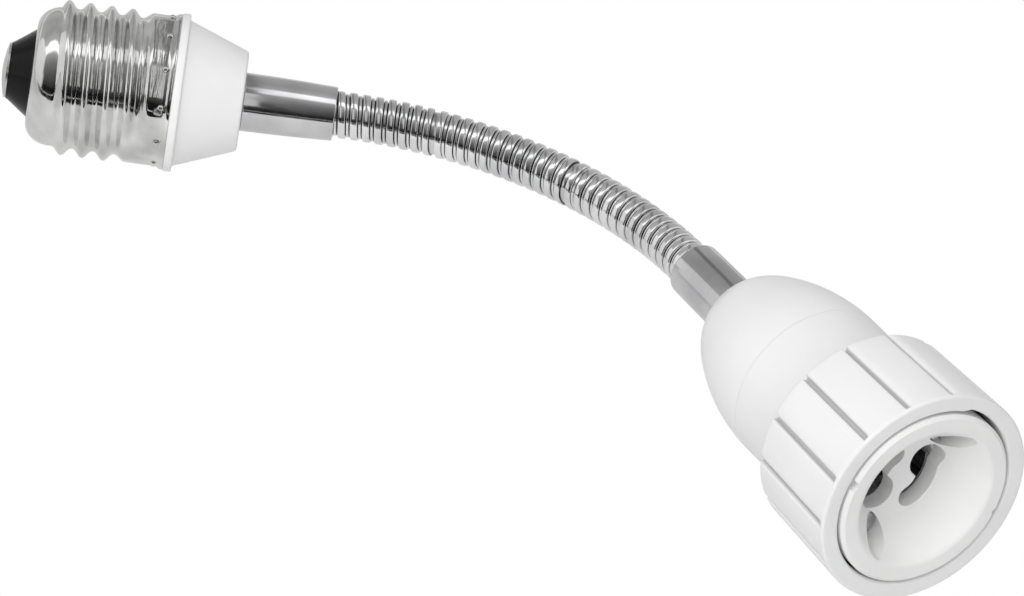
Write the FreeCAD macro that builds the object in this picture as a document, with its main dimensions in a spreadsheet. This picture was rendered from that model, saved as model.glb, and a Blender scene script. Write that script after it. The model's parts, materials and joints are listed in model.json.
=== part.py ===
import FreeCAD, Part
import math
import os
import Sketcher
from FreeCAD import Placement, Rotation, Vector

# Lamp socket adapter: an E27 screw cap, a bendable strip-wound metal neck and a GU10 lamp socket.
# Millimetres. The cap's axis is X, with the tip contact toward -X. The origin is on that axis, in the
# plane where the screw shell meets the white collar. The neck bends in the XY plane toward -Y.

doc = FreeCAD.newDocument("lamp_socket_adapter")

# Driving dimensions
SIZES = {
    # screw cap
    "thread_root_radius": 12.15,
    "thread_height": 1.05,
    "thread_pitch": 3.629,
    "thread_foot_half": 1.4,
    "thread_crest_half": 0.5,
    "skirt_step": 0.75,
    "skirt_length": 6.25,
    "skirt_wall": 0.8,
    "flare_step": 0.45,
    "flare_length": 0.7,
    "shell_length": 24.25,
    "shell_wall": 0.55,
    "shoulder_rounding": 3.0,
    "shoulder_width": 4.55,
    "insulator_tip_radius": 4.8,
    "insulator_length": 3.9,
    "insulator_flange": 1.2,
    "tip_contact_radius": 4.7,
    "tip_contact_height": 1.1,
    "tip_rivet_radius": 1.6,
    "solder_radius": 0.9,
    "solder_angle": 16.0,
    "neutral_joint_back": 12.0,
    # white collar
    "flange_overhang": 0.2,
    "flange_thickness": 1.45,
    "cone_step": 1.05,
    "cone_length": 10.6,
    "plug_length": 5.0,
    "plastic_wall": 1.6,
    "collar_end_wall": 2.6,
    "edge_rounding": 0.4,
    # chrome ferrules and their nuts
    "ferrule_base_radius": 5.0,
    "ferrule_mouth_radius": 4.6,
    "ferrule_length": 15.8,
    "socket_ferrule_length": 13.8,
    "socket_ferrule_mouth_radius": 4.9,
    "ferrule_bore_depth": 9.0,
    "stud_radius": 4.0,
    "stud_length": 6.6,
    "stud_bore_radius": 2.6,
    "nut_across_flats": 11.0,
    "nut_thickness": 2.6,
    "nut_room": 0.55,
    # strip-wound neck
    "hose_radius": 4.0,
    "hose_bore_radius": 2.9,
    "hose_pitch": 2.2,
    "band_width": 1.34,
    "groove_depth": 0.36,
    "turns_per_link": 3,
    "end_turns": 2,
    "link_count": 10,
    "lip_reach": 0.95,
    "lip_outer_radius": 3.3,
    "pocket_radius": 3.55,
    "pocket_depth": 1.7,
    "bend_total": 56.0,
    # wires
    "wire_radius": 0.75,
    "wire_offset": 0.95,
    # lamp socket, places measured back from the front rim
    "grip_front_radius": 19.8,
    "grip_taper": 0.9,
    "grip_back": 21.3,
    "grip_edge_rounding": 1.2,
    "grip_count": 14,
    "grip_groove_depth": 0.8,
    "grip_groove_width": 2.0,
    "grip_groove_front": 1.6,
    "grip_wall": 3.2,
    "body_radius": 15.0,
    "seam_back": 35.2,
    "dome_break_back": 52.9,
    "dome_break_radius": 10.9,
    "dome_seat_back": 59.1,
    "dome_seat_radius": 5.5,
    "dome_nose_radius": 16.0,
    "dome_end_wall": 3.6,
    "seam_overlap": 3.0,
    "web_back": 19.5,
    "web_thickness": 2.0,
    "web_lip": 1.1,
    "insert_rim_thickness": 3.6,
    "insert_rim_step": 2.3,
    "insert_rim_width": 3.3,
    "insert_proud": 0.5,
    "funnel_floor_radius": 7.6,
    "funnel_depth": 7.0,
    "insert_floor": 3.2,
    "chamber_radius": 7.9,
    "rim_rounding": 1.2,
    "rim_edge": 0.6,
    "rim_notch_radius": 0.9,
    "rim_notch_depth": 1.8,
    "rim_notch_angle": 158.0,
    "pin_circle_radius": 5.0,
    "pin_entry_radius": 3.2,
    "pin_slot_radius": 2.05,
    "pin_entry_angle": 24.0,
    "pin_twist": 88.0,
    "screw_inset": 3.6,
    "screw_angle": 51.0,
    "screw_recess_radius": 2.6,
    "screw_head_radius": 2.3,
    "screw_head_height": 1.4,
    "screw_shank_radius": 1.2,
    "leaf_gap_half": 1.5,
    "leaf_thickness": 0.4,
    "leaf_height": 3.8,
    "leaf_reach": 1.9,
    "track_leaf_radius": 7.15,
    "track_leaf_end": 72.0,
    "lug_radius": 0.8,
    # clearances
    "running_gap": 0.05,
    "seat_gap": 0.1,
    "rim_gap": 0.4,
}

sheet = doc.addObject("Spreadsheet::Sheet", "Sizes")
for row, (alias, number) in enumerate(SIZES.items(), start=1):
    sheet.set("A%d" % row, alias)
    sheet.set("B%d" % row, str(number))
    sheet.setAlias("B%d" % row, alias)
doc.recompute()


class Measure:
    """A size: its number now, and the formula over the sheet that gives it."""

    def __init__(self, value, formula):
        self.value = float(value)
        self.formula = formula

    @staticmethod
    def of(other):
        if isinstance(other, Measure):
            return other
        return Measure(other, "(%s)" % repr(float(other)))

    def __add__(self, other):
        other = Measure.of(other)
        return Measure(self.value + other.value, "(%s + %s)" % (self.formula, other.formula))

    def __sub__(self, other):
        other = Measure.of(other)
        return Measure(self.value - other.value, "(%s - %s)" % (self.formula, other.formula))

    def __mul__(self, other):
        other = Measure.of(other)
        return Measure(self.value * other.value, "(%s * %s)" % (self.formula, other.formula))

    def __truediv__(self, other):
        other = Measure.of(other)
        return Measure(self.value / other.value, "(%s / %s)" % (self.formula, other.formula))

    def __neg__(self):
        return Measure(-self.value, "(0 - %s)" % self.formula)

    __radd__ = __add__
    __rmul__ = __mul__

    def __rsub__(self, other):
        return Measure.of(other) - self


def turned(radius, degrees):
    """The two coordinates of a point at a radius and an angle, as Measures."""
    angle = Measure.of(degrees)
    across = Measure(math.cos(math.radians(angle.value)), "cos(%s * 1 deg)" % angle.formula)
    up = Measure(math.sin(math.radians(angle.value)), "sin(%s * 1 deg)" % angle.formula)
    return radius * across, radius * up


class Sheet:
    """Each driving dimension as a Measure, by its alias."""

    def __getattr__(self, alias):
        return Measure(SIZES[alias], "Sizes.%s" % alias)


size = Sheet()


# Helpers for bodies and sketches
def new_body(name):
    body = doc.addObject("PartDesign::Body", name)
    body.Label = name
    return body


def origin_plane(body, role):
    for feature in body.Origin.OriginFeatures:
        if feature.Role == role:
            return feature
    raise ValueError("no plane " + role)


def new_sketch(body, name, role="XZ_Plane", lift=None):
    """A sketch on one of the body's own planes, raised along the plane's normal by lift."""
    sketch = body.newObject("Sketcher::SketchObject", body.Name + "_" + name)
    sketch.AttachmentSupport = [(origin_plane(body, role), "")]
    sketch.MapMode = "FlatFace"
    if lift is not None:
        sketch.AttachmentOffset = Placement(Vector(0, 0, lift.value), Rotation())
        sketch.setExpression(".AttachmentOffset.Base.z", lift.formula)
    return sketch


def fix_point(sketch, edge, end, point):
    """Fix one end of an edge to two Measures, counted from the sketch's origin."""
    for axis, measure in zip("XY", point):
        number = sketch.addConstraint(
            Sketcher.Constraint("Distance" + axis, -1, 1, edge, end, measure.value)
        )
        sketch.setExpression("Constraints[%d]" % number, measure.formula)


class Arc:
    """Says that the outline's next edge is an arc: its radius, and whether it turns left."""

    def __init__(self, radius, left):
        self.radius = Measure.of(radius)
        self.left = left


def arc_middle(start, end, arc):
    """The point halfway along the smaller arc between two points."""
    chord = end - start
    half = chord.Length / 2
    rise = arc.radius.value - math.sqrt(arc.radius.value ** 2 - half ** 2)
    side = Vector(chord.y, -chord.x, 0).normalize()
    return (start + end) / 2 + side * (rise if arc.left else -rise)


def outline(sketch, steps):
    """A closed outline. Corners are pairs of sizes, and an Arc before a corner bends the edge to it."""
    corners, arcs = [], []
    for step in steps:
        if isinstance(step, Arc):
            arcs.append((len(corners), step))
        else:
            corners.append((Measure.of(step[0]), Measure.of(step[1])))
    arcs = dict(arcs)
    count = len(corners)
    spots = [Vector(x.value, y.value, 0) for x, y in corners]
    first = sketch.GeometryCount
    ends = []
    for index in range(count):
        following = (index + 1) % count
        arc = arcs.get(index + 1)
        if arc is None:
            sketch.addGeometry(Part.LineSegment(spots[index], spots[following]), False)
            ends.append((1, 2))
            continue
        middle = arc_middle(spots[index], spots[following], arc)
        if arc.left:
            sketch.addGeometry(Part.Arc(spots[index], middle, spots[following]), False)
            ends.append((1, 2))
        else:
            sketch.addGeometry(Part.Arc(spots[following], middle, spots[index]), False)
            ends.append((2, 1))
    for index in range(count):
        following = (index + 1) % count
        here, there = first + index, first + following
        sketch.addConstraint(Sketcher.Constraint("Coincident", here, ends[index][1], there, ends[following][0]))
        fix_point(sketch, here, ends[index][0], corners[index])
        arc = arcs.get(index + 1)
        if arc is not None:
            number = sketch.addConstraint(Sketcher.Constraint("Radius", here, arc.radius.value))
            sketch.setExpression("Constraints[%d]" % number, arc.radius.formula)


def circle(sketch, across, up, radius):
    """A circle fixed by formulas over the sheet."""
    across, up = Measure.of(across), Measure.of(up)
    ring = Part.Circle(Vector(across.value, up.value, 0), Vector(0, 0, 1), radius.value)
    index = sketch.addGeometry(ring, False)
    number = sketch.addConstraint(Sketcher.Constraint("Radius", index, radius.value))
    sketch.setExpression("Constraints[%d]" % number, radius.formula)
    fix_point(sketch, index, 3, (across, up))


def revolved(body, name, steps):
    """Turn an outline of (along the axis, radius) corners about the body's X axis."""
    sketch = new_sketch(body, name + "_outline")
    outline(sketch, steps)
    feature = body.newObject("PartDesign::Revolution", body.Name + "_" + name)
    feature.Profile = sketch
    feature.ReferenceAxis = (sketch, ["H_Axis"])
    feature.Angle = 360
    sketch.Visibility = False
    doc.recompute()
    return feature


def ring_edges(feature, rings):
    """The names of the circular edges at the given (along, radius) places."""
    names = []
    for along, radius in rings:
        for number, edge in enumerate(feature.Shape.Edges, start=1):
            curve = edge.Curve
            if not isinstance(curve, Part.Circle):
                continue
            near = abs(curve.Center.x - Measure.of(along).value) < 1e-4
            if near and abs(curve.Radius - Measure.of(radius).value) < 1e-4:
                names.append("Edge%d" % number)
    if not names:
        raise ValueError("no ring on " + feature.Name)
    return names


def rounded(body, name, feature, rings, radius):
    """Fillet the circular edges at the given places."""
    fillet = body.newObject("PartDesign::Fillet", body.Name + "_" + name)
    fillet.Base = (feature, ring_edges(feature, rings))
    fillet.Radius = radius.value
    fillet.setExpression("Radius", radius.formula)
    body.Tip = fillet
    doc.recompute()
    return fillet


def padded(body, name, sketch, length, reverse=False):
    """Raise a sketch into a solid along its plane's normal."""
    feature = body.newObject("PartDesign::Pad", body.Name + "_" + name)
    feature.Profile = sketch
    feature.Length = length.value
    feature.setExpression("Length", length.formula)
    feature.Reversed = reverse
    sketch.Visibility = False
    doc.recompute()
    return feature


def pocketed(body, name, sketch, depth, reverse=False):
    """Cut a sketch into the solid, and make sure that it took something away."""
    before = body.Shape.Volume
    feature = body.newObject("PartDesign::Pocket", body.Name + "_" + name)
    feature.Profile = sketch
    feature.Length = depth.value
    feature.setExpression("Length", depth.formula)
    feature.Reversed = reverse
    sketch.Visibility = False
    doc.recompute()
    if body.Shape.Volume > before - 1e-6:
        raise ValueError("nothing cut by " + feature.Name)
    return feature


def repeated(body, name, features, count):
    """Even copies of cuts round the body's X axis."""
    copies = body.newObject("PartDesign::PolarPattern", body.Name + "_" + name)
    copies.Originals = features
    copies.Axis = (origin_plane(body, "X_Axis"), [""])
    copies.Angle = 360
    copies.Occurrences = int(Measure.of(count).value)
    if isinstance(count, Measure):
        copies.setExpression("Occurrences", count.formula)
    body.Tip = copies
    doc.recompute()
    return copies


# Radii of the cap and collar, from the thread's root outward, and places along the cap
thread_crest_radius = size.thread_root_radius + size.thread_height
skirt_radius = size.thread_root_radius + size.skirt_step
flare_radius = skirt_radius + size.flare_step
flange_radius = flare_radius + size.flange_overhang
cone_base_radius = flange_radius - size.cone_step
nut_corner = size.nut_across_flats / Measure(math.sqrt(3), "sqrt(3)")
cone_top_radius = nut_corner + size.nut_room + size.plastic_wall
lip_radius = size.thread_root_radius - size.shoulder_width
collar_end = size.flange_thickness + size.cone_length
neck_start = collar_end + size.ferrule_length


# Screw cap
def make_screw_shell():
    """The formed shell: flared skirt, rolled ridges, rounded shoulder and the lip on the insulator."""
    body = new_body("screw_shell")
    root_radius = size.thread_root_radius
    inner = root_radius - size.shell_wall
    skirt_inner = skirt_radius - size.skirt_wall
    skirt_back = -size.skirt_length
    tip = -size.shell_length
    slope = skirt_radius - root_radius
    steps = [
        (0, flare_radius),
        (-size.flare_length, flare_radius),
        (-size.flare_length - (flare_radius - skirt_radius), skirt_radius),
        (skirt_back, skirt_radius),
        (skirt_back - slope, root_radius),
    ]
    crest = skirt_back - slope - size.thread_foot_half - size.edge_rounding
    last_crest = tip + size.shoulder_rounding + size.thread_foot_half
    ridge_count = 1 + int((crest - last_crest).value / size.thread_pitch.value)
    for ridge in range(ridge_count):
        middle = crest - size.thread_pitch * ridge
        steps += [
            (middle + size.thread_foot_half, root_radius),
            (middle + size.thread_crest_half, thread_crest_radius),
            (middle - size.thread_crest_half, thread_crest_radius),
            (middle - size.thread_foot_half, root_radius),
        ]
    steps += [
        (tip, root_radius),
        (tip, lip_radius),
        (tip + size.shell_wall, lip_radius),
        (tip + size.shell_wall, inner - size.shoulder_rounding / 2),
        (tip + size.shoulder_rounding, inner),
        (skirt_back, inner),
        (skirt_back, skirt_inner),
        (0, skirt_inner),
    ]
    blank = revolved(body, "blank", steps)
    rounded(body, "shoulder", blank, [(tip, root_radius)], size.shoulder_rounding)
    return body


def make_tip_insulator():
    """The black cone between the shell's lip and the tip contact, with a hole for the live wire."""
    body = new_body("tip_insulator")
    base = -size.shell_length
    tip = base - size.insulator_length
    back = base + size.shell_wall
    edge = size.edge_rounding
    revolved(body, "cone", [
        (back + size.insulator_flange, size.tip_rivet_radius),
        (back + size.insulator_flange, lip_radius + size.insulator_flange),
        (back, lip_radius + size.insulator_flange),
        (back, lip_radius - size.running_gap),
        (base, lip_radius - size.running_gap),
        (tip + edge, size.insulator_tip_radius + edge / 2),
        (tip, size.insulator_tip_radius),
        (tip, size.tip_rivet_radius),
    ])
    return body


def make_tip_contact():
    """The domed contact disc with the hollow rivet that holds the live wire."""
    body = new_body("tip_contact")
    seat = -size.shell_length - size.insulator_length
    shank = size.tip_rivet_radius - size.running_gap
    rim = size.tip_contact_height / 3
    rise = size.tip_contact_height - rim
    dome = (size.tip_contact_radius * size.tip_contact_radius + rise * rise) / (rise * 2)
    revolved(body, "disc", [
        (seat + size.insulator_length, shank - size.edge_rounding),
        (seat + size.insulator_length, shank),
        (seat, shank),
        (seat, size.tip_contact_radius),
        (seat - rim, size.tip_contact_radius),
        Arc(dome, True),
        (seat - size.tip_contact_height, 0),
        (seat - rim, 0),
        (seat - rim, shank - size.edge_rounding),
    ])
    return body


def make_side_solder():
    """The spot of solder that joins the neutral wire to the shell's rim."""
    spot = doc.addObject("Part::Sphere", "side_solder")
    spot.Label = "side_solder"
    spot.Radius = size.solder_radius.value
    spot.setExpression("Radius", size.solder_radius.formula)
    spot.Angle1 = 0
    angle = math.radians(size.solder_angle.value)
    outward = Vector(0, -math.cos(angle), math.sin(angle))
    flare = size.flare_length + flare_radius - skirt_radius
    place = Vector(-(flare + size.solder_radius).value, 0, 0)
    place += outward * skirt_radius.value
    spot.Placement = Placement(place, Rotation(Vector(0, 0, 1), outward))
    return spot


def make_base_collar():
    """The white collar: a plug inside the shell, a flange, a hollow cone and an end wall."""
    body = new_body("base_collar")
    plug = skirt_radius - size.skirt_wall - size.running_gap
    hole = size.stud_radius + size.seat_gap
    wall = size.plastic_wall
    edge = size.edge_rounding
    revolved(body, "turned", [
        (-size.plug_length, plug),
        (0, plug),
        (0, flange_radius - edge),
        (edge, flange_radius),
        (size.flange_thickness - edge, flange_radius),
        (size.flange_thickness, flange_radius - edge),
        (size.flange_thickness, cone_base_radius),
        (collar_end - edge, cone_top_radius + edge / 3),
        (collar_end, cone_top_radius - edge),
        (collar_end, hole),
        (collar_end - size.collar_end_wall, hole),
        (collar_end - size.collar_end_wall, cone_top_radius - wall),
        (size.flange_thickness, cone_base_radius - wall),
        (size.flange_thickness, plug - wall),
        (-size.plug_length, plug - wall),
    ])
    return body


# Ferrules and nuts
def make_ferrule(name, base_radius, mouth_radius, length):
    """A turned ferrule along +X: a threaded stud behind x = 0, a barrel, and a bore for the neck."""
    body = new_body(name)
    stud_end = -size.stud_length
    bore = size.hose_radius + size.running_gap
    edge = (mouth_radius - bore) * 0.7
    revolved(body, "turned", [
        (stud_end, size.stud_bore_radius),
        (stud_end, size.stud_radius),
        (0, size.stud_radius),
        (0, base_radius),
        (length - edge, mouth_radius),
        (length, mouth_radius - edge),
        (length, bore),
        (length - size.ferrule_bore_depth, bore),
        (length - size.ferrule_bore_depth, size.stud_bore_radius),
    ])
    return body


def make_nut(name):
    """A thin hexagon nut with its bore on X, from x = 0 toward -X."""
    body = new_body(name)
    sketch = new_sketch(body, "hexagon", "YZ_Plane")
    outline(sketch, [turned(nut_corner, 60 * index) for index in range(6)])
    padded(body, "blank", sketch, size.nut_thickness, reverse=True)
    hole = new_sketch(body, "hole", "YZ_Plane")
    circle(hole, 0, 0, size.stud_radius + size.running_gap)
    pocketed(body, "bore", hole, size.nut_thickness)
    return body


# Strip-wound neck
half_groove = (size.hose_pitch - size.band_width) / 2
link_length = size.hose_pitch * size.turns_per_link
joint_count = size.link_count + 1
joint_turn = size.bend_total / joint_count
tail = size.ferrule_bore_depth - size.seat_gap


def make_hose_piece(name, turns, tail_before=False, tail_after=False):
    """Whole turns of the strip. A pocket on the left and a lip on the right hook into the neighbours."""
    body = new_body(name)
    outer = size.hose_radius
    bottom = outer - size.groove_depth
    bore = size.hose_bore_radius
    length = size.hose_pitch * turns
    steps = []
    if tail_before:
        steps += [(-tail, outer), (-half_groove, outer), (0, bottom), (half_groove, outer)]
    else:
        steps += [(half_groove, size.pocket_radius), (half_groove, outer)]
    for turn in range(1, int(turns.value)):
        middle = size.hose_pitch * turn
        steps += [(middle - half_groove, outer), (middle, bottom), (middle + half_groove, outer)]
    steps.append((length - half_groove, outer))
    if tail_after:
        steps += [(length, bottom), (length + half_groove, outer), (length + tail, outer)]
        steps.append((length + tail, bore))
    else:
        steps.append((length - half_groove, size.lip_outer_radius))
        steps.append((length + size.lip_reach, size.lip_outer_radius))
        steps.append((length + size.lip_reach, bore))
    if tail_before:
        steps.append((-tail, bore))
    else:
        steps += [(size.pocket_depth, bore), (size.pocket_depth, size.pocket_radius)]
    revolved(body, "turns", steps)
    return body


class Place:
    """A spot on the neck's line and its heading in degrees from +X, both in the XY plane."""

    def __init__(self, spot, heading):
        self.spot = spot
        self.heading = heading
        self.ahead = Vector(math.cos(math.radians(heading)), math.sin(math.radians(heading)), 0)

    def moved(self, distance, turn=0.0):
        return Place(self.spot + self.ahead * distance, self.heading + turn)

    def placement(self, extra_turn=0.0):
        return Placement(self.spot, Rotation(Vector(0, 0, 1), self.heading + extra_turn))


def neck_places():
    """The root of the neck, then each joint with the heading behind it. The last one starts the end piece."""
    places = [Place(Vector(neck_start.value, 0, 0), 0.0)]
    step = (size.hose_pitch * size.end_turns).value
    for joint in range(int(joint_count.value)):
        places.append(places[-1].moved(step, -joint_turn.value))
        step = link_length.value
    return places


neck = neck_places()
neck_end = neck[-1].moved((size.hose_pitch * size.end_turns).value)
dome_seat = neck_end.moved(size.socket_ferrule_length.value)
mouth = dome_seat.moved(size.dome_seat_back.value)


# Lamp socket, each piece with its axis on X and the front rim's plane at x = 0
grip_back_radius = size.grip_front_radius - size.grip_taper
housing_opening = size.grip_front_radius - size.grip_wall
insert_rim = housing_opening - size.rim_gap
insert_body = insert_rim - size.insert_rim_step
funnel_mouth = insert_rim - size.insert_rim_width
screw_circle = insert_body - size.screw_inset
web_hole = screw_circle - size.screw_shank_radius - size.web_lip
housing_bore = size.body_radius - size.plastic_wall
insert_seat = size.insert_proud - size.insert_rim_thickness
web_front = -(size.web_back - size.web_thickness)
floor_back = -(size.funnel_depth + size.insert_floor)


def make_rear_housing():
    """The bullet-shaped rear shell, with an end wall for the ferrule and a spigot at the seam."""
    body = new_body("rear_housing")
    seam = -size.seam_back
    seat = -size.dome_seat_back
    run = size.dome_break_back - size.seam_back
    fall = size.body_radius - size.dome_break_radius
    flank = (run * run + fall * fall) / (fall * 2)
    spigot = housing_bore - size.running_gap
    spigot_bore = spigot - size.plastic_wall * 0.75
    hole = size.stud_radius + size.seat_gap
    inner_end = seat + size.dome_end_wall
    inner_start = seam - size.plastic_wall
    inner_radius = size.dome_seat_radius + size.plastic_wall
    revolved(body, "moulded", [
        (seam, size.body_radius),
        Arc(flank, True),
        (-size.dome_break_back, size.dome_break_radius),
        Arc(size.dome_nose_radius, True),
        (seat, size.dome_seat_radius),
        (seat, hole),
        (inner_end, hole),
        (inner_end, inner_radius),
        (inner_start, spigot_bore),
        (seam + size.seam_overlap, spigot_bore),
        (seam + size.seam_overlap, spigot),
        (seam, spigot),
    ])
    return body


def make_grip_housing():
    """The front shell: a plain sleeve, the ribbed grip ring, the insert's seat and the screw web."""
    body = new_body("grip_housing")
    back = -size.seam_back + size.seat_gap
    ring_back = -size.grip_back
    insert_bore = insert_body + size.seat_gap
    shell = revolved(body, "moulded", [
        (back, size.body_radius),
        (ring_back, size.body_radius),
        (ring_back, grip_back_radius),
        (0, size.grip_front_radius),
        (0, housing_opening + size.edge_rounding),
        (-size.edge_rounding, housing_opening),
        (insert_seat, housing_opening),
        (insert_seat, insert_bore),
        (web_front, insert_bore),
        (web_front, web_hole),
        (-size.web_back, web_hole),
        (-size.web_back, housing_bore),
        (back, housing_bore),
    ])
    rounded(body, "front_edge", shell, [(0, size.grip_front_radius)], size.grip_edge_rounding)
    notch = new_sketch(body, "groove", "YZ_Plane", -size.grip_back)
    over = size.grip_front_radius + size.grip_groove_depth
    bottom = grip_back_radius - size.grip_groove_depth
    steep = size.grip_groove_width / 8
    outline(notch, [
        (bottom, steep),
        (over, -size.grip_groove_width),
        (over, steep * 2),
    ])
    cut = pocketed(body, "groove_cut", notch, size.grip_back - size.grip_groove_front, reverse=True)
    repeated(body, "grooves", [cut], size.grip_count)
    holes = new_sketch(body, "screw_hole", "YZ_Plane", web_front)
    across, up = turned(screw_circle, size.screw_angle)
    circle(holes, across, up, size.screw_shank_radius + size.running_gap)
    hole = pocketed(body, "screw_hole_cut", holes, size.web_thickness)
    repeated(body, "screw_holes", [hole], 2)
    return body


def make_socket_insert():
    """The ceramic insert: a thick rim, a funnel, two bayonet keyholes and two screw recesses."""
    body = new_body("socket_insert")
    front = size.insert_proud
    back = web_front + size.seat_gap
    blank = revolved(body, "pressed", [
        (back, insert_body),
        (insert_seat, insert_body),
        (insert_seat, insert_rim),
        (front - size.rim_edge, insert_rim),
        (front, insert_rim - size.rim_edge),
        (front, funnel_mouth),
        (-size.funnel_depth, size.funnel_floor_radius),
        (-size.funnel_depth, 0),
        (floor_back, 0),
        (floor_back, size.chamber_radius),
        (back, size.chamber_radius),
    ])
    rounded(body, "mouth", blank, [(front, funnel_mouth)], size.rim_rounding)
    # keyhole: a wide entry, and a slot on the pin circle to the place where the pin locks
    entry = new_sketch(body, "entry", "YZ_Plane", front)
    across, up = turned(size.pin_circle_radius, size.pin_entry_angle)
    circle(entry, across, up, size.pin_entry_radius)
    entry_cut = pocketed(body, "entry_cut", entry, front - floor_back)
    slot = new_sketch(body, "slot", "YZ_Plane", front)
    near = size.pin_entry_angle
    far = size.pin_entry_angle - size.pin_twist
    inside = size.pin_circle_radius - size.pin_slot_radius
    outside = size.pin_circle_radius + size.pin_slot_radius
    outline(slot, [
        turned(inside, near),
        Arc(inside, False),
        turned(inside, far),
        Arc(size.pin_slot_radius * 1.0001, True),
        turned(outside, far),
        Arc(outside, True),
        turned(outside, near),
    ])
    slot_cut = pocketed(body, "slot_cut", slot, front - floor_back)
    repeated(body, "keyholes", [entry_cut, slot_cut], 2)
    # screw recesses in the funnel's wall, and their through holes
    across, up = turned(screw_circle, size.screw_angle)
    recess = new_sketch(body, "recess", "YZ_Plane", front)
    circle(recess, across, up, size.screw_recess_radius)
    depth = front + size.funnel_depth + size.screw_head_height
    recess_cut = pocketed(body, "recess_cut", recess, depth)
    through = new_sketch(body, "through", "YZ_Plane", front)
    circle(through, across, up, size.screw_shank_radius + size.running_gap)
    through_cut = pocketed(body, "through_cut", through, front - back)
    repeated(body, "recesses", [recess_cut, through_cut], 2)
    # small notches in the rim's outer edge
    notch = new_sketch(body, "notch", "YZ_Plane", front)
    across, up = turned(insert_rim, size.rim_notch_angle)
    circle(notch, across, up, size.rim_notch_radius)
    notch_cut = pocketed(body, "notch_cut", notch, size.rim_notch_depth)
    repeated(body, "notches", [notch_cut], 2)
    return body


def make_contact_clip(name):
    """A spring clip for one pin: two leaves, a lug for the wire and a leaf that follows the pin's track."""
    body = new_body(name)
    inner = size.leaf_gap_half
    outer = inner + size.leaf_thickness
    closed = -size.leaf_reach
    joined = closed - size.leaf_thickness
    lug = size.lug_radius - size.pin_circle_radius
    track_inner = size.track_leaf_radius - size.leaf_thickness
    far_out = turned(size.track_leaf_radius, size.track_leaf_end)
    far_in = turned(track_inner, size.track_leaf_end)
    sketch = new_sketch(body, "strip", "YZ_Plane")
    outline(sketch, [
        (inner, size.leaf_reach),
        (inner, closed),
        (-inner, closed),
        (-inner, size.leaf_reach),
        (-outer, size.leaf_reach),
        (-outer, closed),
        (lug, closed),
        (lug, joined),
        (outer, joined),
        (outer, size.leaf_reach),
        Arc(size.track_leaf_radius, True),
        (far_out[0] - size.pin_circle_radius, far_out[1]),
        (far_in[0] - size.pin_circle_radius, far_in[1]),
        Arc(track_inner, False),
    ])
    padded(body, "leaves", sketch, size.leaf_height, reverse=True)
    return body


def make_insert_screws():
    """Two screws with slotted round heads, as one group of separate solids."""
    screws = []
    for side in range(2):
        head = doc.addObject("Part::Cylinder", "screw_head_%d" % side)
        head.Radius = size.screw_head_radius.value
        head.setExpression("Radius", size.screw_head_radius.formula)
        head.Height = size.screw_head_height.value
        head.setExpression("Height", size.screw_head_height.formula)
        shank = doc.addObject("Part::Cylinder", "screw_shank_%d" % side)
        reach = size.web_back - size.funnel_depth - size.screw_head_height
        shank.Radius = size.screw_shank_radius.value
        shank.setExpression("Radius", size.screw_shank_radius.formula)
        shank.Height = reach.value
        shank.setExpression("Height", reach.formula)
        shank.Placement = Placement(Vector(0, 0, -reach.value), Rotation())
        slot = doc.addObject("Part::Box", "screw_slot_%d" % side)
        width = size.screw_head_radius / 4
        slot.Length = size.screw_head_radius.value * 2
        slot.setExpression("Length", (size.screw_head_radius * 2).formula)
        slot.Width = width.value
        slot.setExpression("Width", width.formula)
        slot.Height = size.screw_head_height.value
        slot.setExpression("Height", size.screw_head_height.formula)
        slot.Placement = Placement(
            Vector(-size.screw_head_radius.value, -width.value / 2, size.screw_head_height.value / 2), Rotation()
        )
        blank = doc.addObject("Part::Fuse", "screw_blank_%d" % side)
        blank.Base = head
        blank.Tool = shank
        screw = doc.addObject("Part::Cut", "screw_%d" % side)
        screw.Base = blank
        screw.Tool = slot
        across, up = turned(screw_circle, size.screw_angle + 180 * side)
        seat = -(size.funnel_depth + size.screw_head_height).value
        screw.Placement = Placement(Vector(seat, across.value, up.value), Rotation(Vector(0, 1, 0), 90))
        screws.append(screw)
    group = doc.addObject("Part::Compound", "insert_screws")
    group.Label = "insert_screws"
    group.Links = screws
    return group


# Wires: straight runs joined by tangent arcs
def wire_path(points, radii):
    """A path through the first and last points, with an arc of the given radius at each one between."""
    edges = []
    here = points[0]
    for index, radius in enumerate(radii, start=1):
        before = (points[index] - points[index - 1]).normalize()
        after = (points[index + 1] - points[index]).normalize()
        half = before.getAngle(after) / 2
        back = radius * math.tan(half)
        start = points[index] - before * back
        end = points[index] + after * back
        inward = (after - before).normalize()
        middle = points[index] + inward * (radius / math.cos(half) - radius)
        edges.append(Part.LineSegment(here, start).toShape())
        edges.append(Part.Arc(start, middle, end).toShape())
        here = end
    edges.append(Part.LineSegment(here, points[-1]).toShape())
    return Part.Wire(edges)


def make_wire(name, points, radii):
    """A round wire swept along its path."""
    path = wire_path(points, radii)
    ahead = (points[1] - points[0]).normalize()
    section = Part.Wire([Part.makeCircle(size.wire_radius.value, points[0], ahead)])
    wire = doc.addObject("Part::Feature", name)
    wire.Label = name
    wire.Shape = path.makePipeShell([section], True, False)
    return wire


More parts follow.
